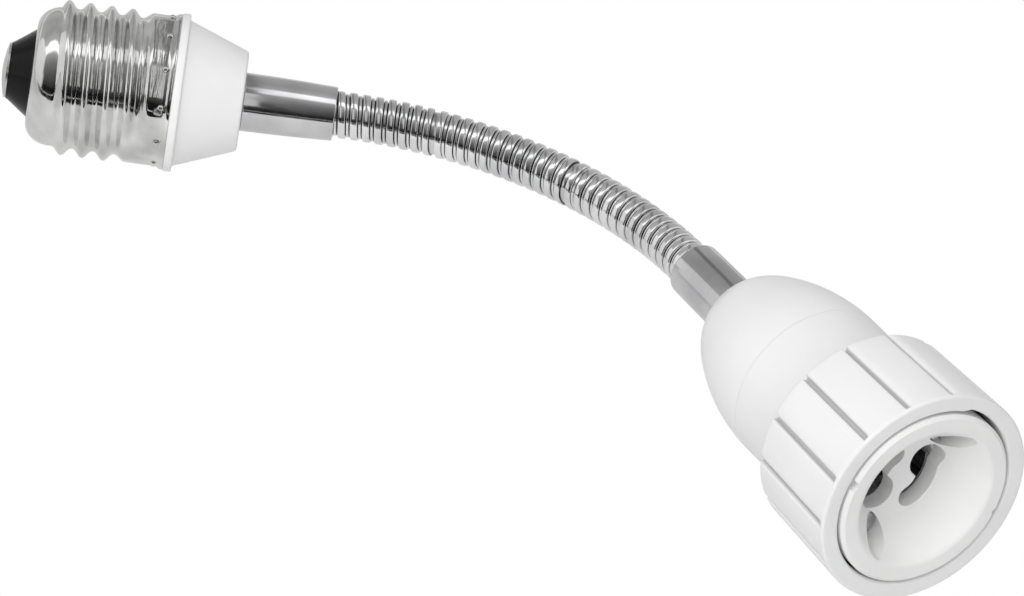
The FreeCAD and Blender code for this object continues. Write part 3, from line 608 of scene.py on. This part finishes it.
CAP_AXIS = Matrix.Identity(4)
seat = next(m for m in frame["record"]["mounts"] if m["name"] == "lamp_seat")
SOCKET_HEADING = math.atan2(seat["axis"][1], seat["axis"][0])
FUNNEL_DEPTH = 7.0
rim_centre = Vector(seat["pos_m"]) + Vector(seat["axis"]) * FUNNEL_DEPTH * MM
SOCKET_AXIS = Matrix.Translation(rim_centre) @ Matrix.Rotation(SOCKET_HEADING, 4, "Z")
print("socket heading in degrees:", round(math.degrees(SOCKET_HEADING), 2))

# %% [markdown]
# The screw shell is thin nickelled brass, rolled so that its wall itself forms the thread: round crests
# and round roots that climb along a right-handed screw line and fade out at both ends. Modelling one turn
# and repeating it would leave the fade-outs wrong, so the radius is a formula of the place along the axis
# and the angle. The shoulder curls in to a lip that grips the black glass.

# %% Screw shell
CREST, ROOT, PITCH = 13.2, 11.85, 3.629
SKIRT, FLARE = 12.9, 13.35
SHELL_TIP, LIP, WALL, SHOULDER = -24.25, 7.6, 0.5, 4.2
SHOULDER_FOOT, SHOULDER_STEPS = 0.6, 14
PLUG_ROOM, PLUG_END = 12.1, -5.2
CREST_AT_TOP, TOP_ANGLE = -8.5, math.radians(58)
CRESTS_BEFORE = 3
SKIRT_RISE = 1.9
# a power above 1 makes the crests narrower than the valleys between them
WAVE_POWER = 1.2
# the last valley dies out toward the skirt, and the first crest grows out of the shoulder
VALLEY_FADE = (math.radians(150), math.radians(240))
CREST_FADE = (math.radians(-150), math.radians(0))


def eased(value, start, stop):
    """0 before start, 1 after stop, and a soft rise between them."""
    t = max(0.0, min(1.0, (value - start) / (stop - start)))
    return t * t * (3 - 2 * t)


def below(angle, limit):
    """The same direction as angle, within one turn below limit."""
    while angle >= limit:
        angle -= 2 * math.pi
    while angle < limit - 2 * math.pi:
        angle += 2 * math.pi
    return angle


def rolled_thread(along, angle):
    """How far the thread stands above its root, in millimetres."""
    turn = below(angle, CREST_FADE[0] + 2 * math.pi)
    first = CREST_AT_TOP - CRESTS_BEFORE * PITCH + PITCH * (turn - TOP_ANGLE) / (2 * math.pi)
    if along < first - PITCH / 2:
        return 0.0
    wave = (1 + math.cos(2 * math.pi * (along - first) / PITCH)) / 2
    height = (CREST - ROOT) * wave ** WAVE_POWER
    return height * eased(turn, *CREST_FADE) if along < first + PITCH / 2 else height


def thread_then_skirt(along, angle, valley):
    """The wall's radius, with the thread up to a valley and the rise to the skirt after it."""
    if along <= valley:
        return ROOT + rolled_thread(along, angle)
    return ROOT + (SKIRT - ROOT) * eased(along, valley, valley + SKIRT_RISE)


def shell_radius(along, radius, angle):
    """Turn the plain wall into thread and skirt. The last valley moves one pitch back as it dies out."""
    if abs(radius - ROOT) > 1e-6:
        return along, radius
    turn = below(angle, VALLEY_FADE[1])
    valley = CREST_AT_TOP + PITCH / 2 + PITCH * (turn - TOP_ANGLE) / (2 * math.pi)
    kept = 1 - eased(turn, *VALLEY_FADE)
    late = thread_then_skirt(along, angle, valley)
    early = thread_then_skirt(along, angle, valley - PITCH)
    return along, kept * late + (1 - kept) * early


outline = softened([
    (0, SKIRT - 0.8),
    (0, FLARE, 0.15),
    (-0.55, FLARE, 0.3),
    (-1.2, SKIRT, 0.4),
    (-2.2, SKIRT),
])
WALL_START, WALL_STEPS = -2.3, 110
for step in range(WALL_STEPS + 1):
    outline.append(Vector((WALL_START + (SHELL_TIP + SHOULDER - WALL_START) * step / WALL_STEPS, ROOT)))
for step in range(1, SHOULDER_STEPS + 1):
    angle = math.pi / 2 * step / SHOULDER_STEPS
    along = SHELL_TIP + SHOULDER * (1 - math.sin(angle))
    shoulder_foot = LIP + SHOULDER_FOOT
    outline.append(Vector((along, shoulder_foot + (ROOT - shoulder_foot) * math.cos(angle))))
outline += [Vector(p) for p in ((SHELL_TIP, LIP + 0.25), (SHELL_TIP + 0.1, LIP), (SHELL_TIP + WALL, LIP),
                                (SHELL_TIP + WALL, ROOT - 3.3), (SHELL_TIP + 4.4, ROOT - WALL),
                                (PLUG_END, ROOT - WALL), (PLUG_END, PLUG_ROOM), (-0.2, PLUG_ROOM))]
shell = spun("screw_shell_rolled", outline, CAP_AXIS, even_angles(192), shell_radius)
finished(shell, nickel, "cap", "nickel", "screw_shell")

# %% [markdown]
# Twelve small punch marks near the rim press the shell into the collar's plug. They are shallow domes,
# gathered in one mesh. Beside one of them a drop of solder joins the wire to the shell: a squashed ball
# with a rough, lumpy skin, made by pushing a fine sphere's points in and out.

# %% Punch marks and solder
MARK_COUNT, MARK_RADIUS, MARK_FLATNESS, MARK_ALONG = 12, 0.6, 0.85, -1.7
FIRST_MARK = math.radians(161.5)
DROP_RADIUS, DROP_STRETCH, DROP_OUT = 0.72, 1.25, 12.95

marks = bmesh.new()
for number in range(MARK_COUNT):
    angle = FIRST_MARK + 2 * math.pi * number / MARK_COUNT
    out = Vector((0, math.cos(angle), math.sin(angle)))
    place = Matrix.Translation((out * SKIRT + Vector((MARK_ALONG, 0, 0))) * MM)
    place = place @ out.to_track_quat("Z", "X").to_matrix().to_4x4()
    place = place @ Matrix.Diagonal((1, 1, MARK_FLATNESS, 1))
    bmesh.ops.create_uvsphere(marks, u_segments=14, v_segments=10, radius=MARK_RADIUS * MM, matrix=place)
mesh = bpy.data.meshes.new("punch_marks")
marks.to_mesh(mesh)
marks.free()
mesh.shade_smooth()
punch_marks = bpy.data.objects.new("punch_marks", mesh)
bpy.context.scene.collection.objects.link(punch_marks)
finished(punch_marks, nickel, "cap", "nickel")

solder_low, solder_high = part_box("side_solder")
solder_centre = (solder_low + solder_high) / 2
drop = bmesh.new()
bmesh.ops.create_icosphere(drop, subdivisions=4, radius=1.0)
for corner in drop.verts:
    d = corner.co.normalized()
    lump = 1 + 0.10 * math.sin(5 * d.x + 2) * math.cos(4 * d.y) + 0.05 * math.sin(9 * d.z + 4 * d.x)
    corner.co = d * lump * DROP_RADIUS * MM
out = Vector((0, solder_centre.y, solder_centre.z)).normalized()
bmesh.ops.scale(drop, vec=(DROP_STRETCH, 1, 1), verts=drop.verts)
bmesh.ops.translate(drop, vec=Vector((solder_centre.x, 0, 0)) + out * DROP_OUT * MM, verts=drop.verts)
mesh = bpy.data.meshes.new("solder_drop")
drop.to_mesh(mesh)
drop.free()
mesh.shade_smooth()
solder = bpy.data.objects.new("solder_drop", mesh)
bpy.context.scene.collection.objects.link(solder)
finished(solder, solder_grey, "cap", "solder", "side_solder")

# %% [markdown]
# The white collar is one moulding: a plug inside the shell, a thin flange and a hollow cone. The cone's
# wall meets the flange in a small fillet, and its outer edges are soft, as a mould leaves them.

# %% Collar
FLANGE, FLANGE_THICK, CONE_BASE, CONE_TOP, CONE_END = 13.55, 1.45, 12.5, 8.5, 12.05
PLUG, PLUG_LENGTH, PLASTIC_WALL, END_WALL, STUD_HOLE = 12.05, 5.0, 1.6, 2.6, 4.1
collar = spun("collar_moulded", softened([
    (-PLUG_LENGTH, PLUG, 0.2),
    (0, PLUG),
    (0, FLANGE, 0.3),
    (FLANGE_THICK, FLANGE, 0.35),
    (FLANGE_THICK, CONE_BASE, 0.35),
    (CONE_END, CONE_TOP, 0.55),
    (CONE_END, STUD_HOLE),
    (CONE_END - END_WALL, STUD_HOLE),
    (CONE_END - END_WALL, CONE_TOP - PLASTIC_WALL, 0.5),
    (FLANGE_THICK, CONE_BASE - PLASTIC_WALL),
    (FLANGE_THICK, PLUG - PLASTIC_WALL),
    (-PLUG_LENGTH, PLUG - PLASTIC_WALL),
]), CAP_AXIS, even_angles(128))
finished(collar, white_plastic, "cap", "white_plastic", "base_collar")

# %% [markdown]
# The two ferrules are turned from rod and chromed. The one at the cap tapers slightly to its mouth. Their
# reflections run along the barrel, so they need a smooth barrel with very even steps.

# %% Ferrules
STUD_LENGTH, BORE_DEPTH = 6.6, 9.0
BORE_RADIUS, STUD_RADIUS, HOLLOW_RADIUS = 4.05, 4.0, 2.6
DOME_SEAT_BACK = -59.1


def ferrule(name, base, mouth, length, place, finish, body, node):
    """A barrel with a bore for the hose and a hollow stud behind its base."""
    middle = base - (base - mouth) * 0.25
    made = spun(name, softened([
        (-STUD_LENGTH, HOLLOW_RADIUS),
        (-STUD_LENGTH, STUD_RADIUS, 0.3),
        (0, STUD_RADIUS),
        (0, base, 0.12),
        (length * 0.5, middle, 3.0),
        (length, mouth, 0.4),
        (length, BORE_RADIUS, 0.15),
        (length - BORE_DEPTH, BORE_RADIUS),
        (length - BORE_DEPTH, HOLLOW_RADIUS),
    ], 6), place, even_angles(96))
    return finished(made, finish, body, "chrome_plate", node)


COLLAR_FACE = Matrix.Translation((CONE_END * MM, 0, 0))
DOME_SEAT = SOCKET_AXIS @ Matrix.Translation((DOME_SEAT_BACK * MM, 0, 0)) @ Matrix.Rotation(math.pi, 4, "Z")
ferrule("cap_ferrule_turned", 5.0, 4.6, 15.8, COLLAR_FACE, ferrule_chrome, "cap", "cap_ferrule")
ferrule("socket_ferrule_turned", 5.0, 4.9, 13.8, DOME_SEAT, far_chrome, "socket", "socket_ferrule")

# %% [markdown]
# The neck is one metal strip, wound so that each turn hooks over the one before. Seen from outside it is a
# round band, a narrow step down to the turn below, and a fine dark crevice at each edge, all along a
# right-handed screw line. The model has ten links and two ends, so the strip is made here in eleven
# lengths of three turns. Each length crosses one joint and is curved over it, and the cuts follow the
# screw line at the bottom of a crevice.
# Blending over a joint is sensitive to rounding, and in the pose with every joint at its lower limit it
# threw two lengths off. At those two joints the strip is parted instead, and each side rides on its own
# link. The side before the joint ends in a ball about the joint, and the turns after it slide over that
# ball with a little room, as two turns of real strip slide over each other.

# %% Neck line
TURNS_PER_LINK, TURNS_AT_ENDS = 3, 2

joints = frame["joints"]
last_joint = len(joints)
body_names = [joints[0]["parent"]] + [j["child"] for j in joints]
pivots = [Vector(j["pos_m"]) for j in joints]
LINK = (pivots[1] - pivots[0]).length / MM
STRIP_PITCH = LINK / TURNS_PER_LINK
HOSE_START = pivots[0].x / MM - TURNS_AT_ENDS * STRIP_PITCH
BEND_TOTAL = -SOCKET_HEADING
BEND_EACH = BEND_TOTAL / last_joint
BEND_RADIUS = LINK / 2 / math.tan(BEND_EACH / 2)
ARC_LENGTH = BEND_RADIUS * BEND_TOTAL
STRAIGHT = TURNS_AT_ENDS * STRIP_PITCH - LINK / 2


def neck_spot(along):
    """The centre point and heading of the neck, at a length in millimetres from the cap ferrule's mouth."""
    if along < STRAIGHT:
        return Vector((HOSE_START + along, 0, 0)), 0.0
    swept = min((along - STRAIGHT) / ARC_LENGTH, 1.0) * BEND_TOTAL
    x = HOSE_START + STRAIGHT + BEND_RADIUS * math.sin(swept)
    y = -BEND_RADIUS * (1 - math.cos(swept))
    beyond = max(0.0, along - STRAIGHT - ARC_LENGTH)
    return Vector((x + beyond * math.cos(swept), y - beyond * math.sin(swept), 0)), -swept


print("neck in mm: bend radius", round(BEND_RADIUS, 2), "visible length", round(2 * STRAIGHT + ARC_LENGTH, 2))

# %% [markdown]
# One turn of the strip is a list of places across the band, each with its depth below the band's top. The
# grid repeats it turn after turn and follows the screw line, so a whole length is one mesh. Deep places
# also get a dark mark in the attribute crevice, which the finish reads: painted shade, darker where deeper.

# %% Strip turns
HOSE_RADIUS = 4.0
STEPS_ROUND = 56
# one turn across the strip: place along the turn as a share of the pitch, and drop below the band's top
STRIP_SECTION = [(0.000, 0.80), (0.030, 0.66), (0.044, 0.26), (0.070, 0.11), (0.110, 0.04), (0.170, 0.01),
                 (0.300, 0.0), (0.450, 0.0), (0.550, 0.015), (0.605, 0.05), (0.640, 0.13), (0.660, 0.30),
                 (0.672, 0.68), (0.694, 0.80), (0.716, 0.68), (0.736, 0.40), (0.780, 0.35), (0.870, 0.35),
                 (0.940, 0.38), (0.972, 0.58)]
# the depths where the painted shade in the crevices starts and is full
CREVICE_START, CREVICE_FULL = 0.34, 0.56
SECTION_PHASE = 0.25
# where each length starts round the neck, in turns from the side away from the camera: underneath
SEAM = -0.25
# where the strip is parted: the band's new edge before and after the joint, in turns from it, and the edge's
# section as distance in from it, drop and painted shade
ROOM_BEFORE, ROOM_AFTER = 0.40, 0.10
PARTED_EDGE = [(0.04, 0.03, 0.0), (0.01, 0.12, 0.3), (0.0, 0.33, 1.0)]
EDGE_CLEARANCE = 0.05
# the ball about the joint: its radius in millimetres, its start and end in turns, and its painted shade row by
# row
BALL_RADIUS, BALL_GAP, BALL_REACH, BALL_ROWS = 3.6, 0.02, 0.40, 13
BALL_SHADE = [1.0, 0.35] + [0.2] * (BALL_ROWS - 2)
# the first turn after the joint is kept this shallow, so that it clears the ball
SHALLOW = 0.33


def strip_rows(first_turn, last_turn, side):
    """Each row as its place in turns, its drop (None on the ball) and its painted shade."""
    rows = [(turn + share, drop, eased(drop, CREVICE_START, CREVICE_FULL))
            for turn in range(first_turn, last_turn) for share, drop in STRIP_SECTION]
    # the last row lies at the bottom of a crevice and gets full painted shade
    rows.append((last_turn, STRIP_SECTION[0][1], 1.0))
    if side == "before":
        edge = last_turn - ROOM_BEFORE
        rows = [row for row in rows if row[0] < edge - EDGE_CLEARANCE]
        rows += [(edge - inward, drop, dark) for inward, drop, dark in PARTED_EDGE]
        reach = ROOM_BEFORE + BALL_REACH - BALL_GAP
        rows += [(edge + BALL_GAP + reach * step / (BALL_ROWS - 1), None, dark)
                 for step, dark in enumerate(BALL_SHADE)]
    if side == "after":
        edge = first_turn + ROOM_AFTER
        rows = [(place, min(drop, SHALLOW) if place < first_turn + 1 else drop, dark)
                for place, drop, dark in rows if place > edge + EDGE_CLEARANCE]
        rows = [(edge + inward, drop, dark) for inward, drop, dark in reversed(PARTED_EDGE)] + rows
    return rows


def strip_length(name, first_turn, last_turn, side=None):
    """The wound strip between two places, as a grid that follows the screw line."""
    rows = strip_rows(first_turn, last_turn, side)
    corners, faces = [], []
    for place, drop, _ in rows:
        for step in range(STEPS_ROUND + 1):
            turned = SEAM + step / STEPS_ROUND
            angle = 2 * math.pi * turned
            along = (place + SECTION_PHASE - 0.5 + turned) * STRIP_PITCH
            centre, heading = neck_spot(along)
            sideways = Vector((-math.sin(heading), math.cos(heading), 0))
            if drop is None:
                r = math.sqrt(BALL_RADIUS ** 2 - (along - last_turn * STRIP_PITCH) ** 2)
            else:
                r = HOSE_RADIUS - drop
            out = sideways * math.cos(angle) + Vector((0, 0, math.sin(angle)))
            corners.append((centre + out * r) * MM)
    width = STEPS_ROUND + 1
    for row in range(len(rows) - 1):
        # the first turn after a parted joint starts one step late, so that the strip's blunt ends don't rub
        first_step = 1 if side == "after" and rows[row][0] < first_turn + 1 else 0
        for step in range(first_step, STEPS_ROUND):
            low, high = row * width + step, (row + 1) * width + step
            faces.append((low, low + 1, high + 1, high))
    made = mesh_object(name, corners, faces)
    # each row's painted shade, which the finish reads
    shade = made.data.attributes.new("crevice", "FLOAT", "POINT")
    shade.data.foreach_set("value", [dark for _, _, dark in rows for _ in range(width)])
    return made


print("rows in one turn of strip:", len(STRIP_SECTION))

# %% Eleven lengths of strip
TURNS_IN_VIEW = TURNS_PER_LINK * (last_joint - 1) + 2 * TURNS_AT_ENDS
TURNS_IN_TAIL = 3
PARTED_JOINTS = (3, 7)


def joint_heading(number):
    """The neck's direction at a joint."""
    _, heading = neck_spot(STRAIGHT + (number - 0.5) * ARC_LENGTH / last_joint)
    return Vector((math.cos(heading), math.sin(heading), 0))


def bend_over(made):
    """Bake a length's placing into its mesh."""
    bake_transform(made)


def strip_nodes(number):
    """The links of the model that the strip on one body stands for."""
    if number == 0:
        return ["hose_root"]
    return ["hose_link_%02d" % number] if number < last_joint else ["hose_end"]


for number in range(1, last_joint + 1):
    first = -TURNS_IN_TAIL if number == 1 else TURNS_PER_LINK * (number - 1)
    last = TURNS_PER_LINK * number if number < last_joint else TURNS_IN_VIEW + TURNS_IN_TAIL
    name = "neck_strip_%02d" % number
    if number in PARTED_JOINTS:
        at_joint = TURNS_PER_LINK * (number - 1) + TURNS_AT_ENDS
        sides = (("before", first, at_joint, number - 1), ("after", at_joint, last, number))
        for side, start, stop, body in sides:
            made = strip_length("%s_%s" % (name, side), start, stop, side)
            finished(made, strip_chrome, body_names[body], "chrome_strip", *strip_nodes(body))
        continue
    length = strip_length(name, first, last)
    length.data.materials.append(strip_chrome)
    bend_over(length)
    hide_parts(*strip_nodes(number))
    if number == 1:
        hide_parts(*strip_nodes(0))
print("neck lengths:", last_joint)

# %% [markdown]
# Two wires run inside the neck. Each one is cut at the middle of every link, so that each cut length
# spans one joint. The wire's own mesh is copied and cut by planes, which keeps the route of the model.
# Where the strip is parted, the wire leaves a short break out of sight.

# %% Wires
# half the break in millimetres
BREAK_HALF = 0.6


def cut_away(mesh, spot, normal, keep_after):
    """Cut a mesh by a plane and keep the side after it or before it."""
    bmesh.ops.bisect_plane(mesh, geom=mesh.verts[:] + mesh.edges[:] + mesh.faces[:], plane_co=spot,
                           plane_no=normal, clear_inner=keep_after, clear_outer=not keep_after)


def wire_length(node, name, number, finish):
    """A copy of the wire between the middles of the two links that meet at a joint."""
    mesh = bmesh.new()
    mesh.from_mesh(frame["nodes"][node].data)
    for edge_number, keep_after in ((number - 1, True), (number, False)):
        if edge_number in (0, last_joint):
            continue
        spot, heading = neck_spot(STRAIGHT + edge_number * ARC_LENGTH / last_joint)
        cut_away(mesh, spot * MM, Vector((math.cos(heading), math.sin(heading), 0)), keep_after)
    made = bpy.data.objects.new(name, bpy.data.meshes.new(name))
    mesh.to_mesh(made.data)
    mesh.free()
    made.data.materials.clear()
    made.data.materials.append(finish)
    made.data.shade_smooth()
    bpy.context.scene.collection.objects.link(made)
    return made


def wire_lengths(node, finish):
    """All lengths of one wire, which stand for its node together."""
    for number in range(1, last_joint + 1):
        name = "%s_%02d" % (node, number)
        if number not in PARTED_JOINTS:
            made = wire_length(node, name, number, finish)
            bend_over(made)
            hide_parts(node)
            continue
        for side, body, keep_after in (("before", number - 1, False), ("after", number, True)):
            made = wire_length(node, "%s_%s" % (name, side), number, finish)
            normal = joint_heading(number)
            mesh = bmesh.new()
            mesh.from_mesh(made.data)
            end = pivots[number - 1] + normal * (BREAK_HALF if keep_after else -BREAK_HALF) * MM
            cut_away(mesh, end, normal, keep_after)
            mesh.to_mesh(made.data)
            mesh.free()
            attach(made, body_names[body])
            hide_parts(node)
    print(node, "in", last_joint, "lengths")


wire_lengths("live_wire", live_sleeve)
wire_lengths("neutral_wire", neutral_sleeve)

# %% [markdown]
# The grip housing is the front shell of the socket. Its ring has fourteen finger grooves. Across, each one
# has a soft side, a deep narrow bottom and a steep side. It runs out just behind the smooth front edge.
# Cutting them with booleans would leave thin bad triangles, so the ring is spun like the other round
# pieces, and its radius drops where a groove passes. The angles are packed closely at each groove. The
# ceramic insert sits a little off to one side in the ring's mouth, so the seam round it is wider and
# deeper there. The grooves and that seam are marked in the attribute crevice, as painted shade.

# %% Grip housing
RING_FRONT, RING_BACK, RING_END = 19.8, 18.9, -21.3
GROOVES, GROOVE_FRONT = 14, -0.9
GROOVE_FIRST = math.radians(2.7)
# one groove in degrees past its edge, and its depth there: a soft side, the bottom and a steep side
GROOVE_SECTION = [(-5.0, 0.0), (-3.4, 0.03), (-1.8, 0.12), (-0.9, 0.24), (-0.5, 0.36), (-0.2, 0.75),
                  (0.2, 1.15), (0.8, 1.30), (1.6, 1.30), (2.1, 1.25), (2.35, 0.85), (2.55, 0.16),
                  (2.9, 0.03), (3.6, 0.0)]
GROOVE_RUN_OUT = 0.6
# how dark the painted shade in a groove gets, and the depths in millimetres where it starts and is full
GROOVE_SHADE, SHADE_START, SHADE_FULL = 0.34, 0.3, 0.9
PANEL_STOPS = [5.5, 7.5, 10.0, 12.5, 15.0, 17.5, 19.5]
# the seam round the insert: its wall, the radii that tell it from the ring, and its widening on one side
SEAM_WALL, SEAM_INNER, SEAM_OUTER, SEAM_BACK = 16.6, 16.4, 17.2, -3.2
# SEAM_SHADE_FROM: the place along the axis behind which the seam round the insert is painted black as shade
SEAM_FLOOR, SEAM_SHADE_FROM = -3.0, -2.9
SIDE_GAP, SIDE_GAP_FLOOR, FLOOR_EASE = 0.6, 6.0, 3
SIDE_GAP_FROM, SIDE_GAP_TO, SIDE_GAP_END = math.radians(14), math.radians(67), math.radians(71)
RING_INNER, GROOVE_INNER = 17.4, 17.6


def groove_drop(along, angle):
    """How deep a finger groove is at this place on the ring."""
    spacing = 360 / GROOVES
    past = (math.degrees(angle - GROOVE_FIRST) + spacing / 2) % spacing - spacing / 2
    depth = 0.0
    for (start, low), (stop, high) in zip(GROOVE_SECTION, GROOVE_SECTION[1:]):
        if start <= past <= stop:
            depth = low + (high - low) * (past - start) / (stop - start)
    return depth * eased(along, GROOVE_FRONT, GROOVE_FRONT - GROOVE_RUN_OUT)


def ring_slope(along):
    """The ring's radius between its grooves, which grows to the front."""
    return RING_BACK + (RING_FRONT - RING_BACK) * (along - RING_END) / -RING_END


def ring_radius(along, radius, angle):
    """Cut the grooves into the ring, and widen the seam round the insert on one side."""
    if SEAM_INNER < radius < SEAM_OUTER and along > SEAM_BACK:
        turn = below(angle, 2 * math.pi)
        wider = eased(turn, SIDE_GAP_FROM, SIDE_GAP_TO) * (1 - eased(turn, SIDE_GAP_TO, SIDE_GAP_END))
        deeper = SIDE_GAP_FLOOR * min(1.0, FLOOR_EASE * wider) if along < SEAM_FLOOR else 0
        return along - deeper, radius + SIDE_GAP * wider
    if along < RING_END - 0.5 or radius < RING_INNER:
        return along, radius
    return along, min(radius, ring_slope(along) - groove_drop(along, angle))


# %% Grip housing's outline and mesh
BODY, BODY_BORE, SLEEVE_BACK = 15.0, 13.4, -35.17
WEB_FRONT, WEB_BACK, WEB_HOLE = -17.5, -19.5, 9.2
INSERT_SEAT, INSERT_BORE = -3.1, 14.0
RING_STEPS = 39

ring_line = []
for step in range(1, RING_STEPS + 1):
    along = RING_END + 1.0 + (-RING_END - 2.4) * step / RING_STEPS
    ring_line.append((along, ring_slope(along)))
outline = softened([
    (SLEEVE_BACK, BODY, 0.06),
    (RING_END, BODY, 0.4),
    (RING_END, 17.3),
    (RING_END, RING_BACK, 0.8),
    *ring_line,
    (0, RING_FRONT, 1.3),
    (0, 16.9, 0.4),
    (-0.5, SEAM_WALL, 0.3),
    (INSERT_SEAT, SEAM_WALL),
    (INSERT_SEAT, INSERT_BORE),
    (WEB_FRONT, INSERT_BORE),
    (WEB_FRONT, WEB_HOLE),
    (WEB_BACK, WEB_HOLE),
    (WEB_BACK, BODY_BORE),
    (SLEEVE_BACK, BODY_BORE),
], 6)
ring_angles = [GROOVE_FIRST + math.radians(past + 360 / GROOVES * groove)
               for groove in range(GROOVES) for past in [p for p, _ in GROOVE_SECTION] + PANEL_STOPS]
grip = spun("grip_housing_moulded", outline, SOCKET_AXIS, ring_angles, ring_radius)
to_ring = SOCKET_AXIS.inverted()
# painted shade: grey at the bottom of the grooves, black deep in the seam round the insert
shade = []
for corner in grip.data.vertices:
    spot = to_ring @ corner.co / MM
    radius, angle = math.hypot(spot.y, spot.z), math.atan2(spot.z, spot.y)
    in_groove = 0.0
    if radius > GROOVE_INNER:
        in_groove = GROOVE_SHADE * eased(groove_drop(spot.x, angle), SHADE_START, SHADE_FULL)
    in_seam = SEAM_INNER < radius < RING_INNER and spot.x < SEAM_SHADE_FROM
    shade.append(1.0 if in_seam else in_groove)
grip.data.attributes.new("crevice", "FLOAT", "POINT").data.foreach_set("value", shade)
finished(grip, grooved_plastic, "socket", "white_plastic", "grip_housing")
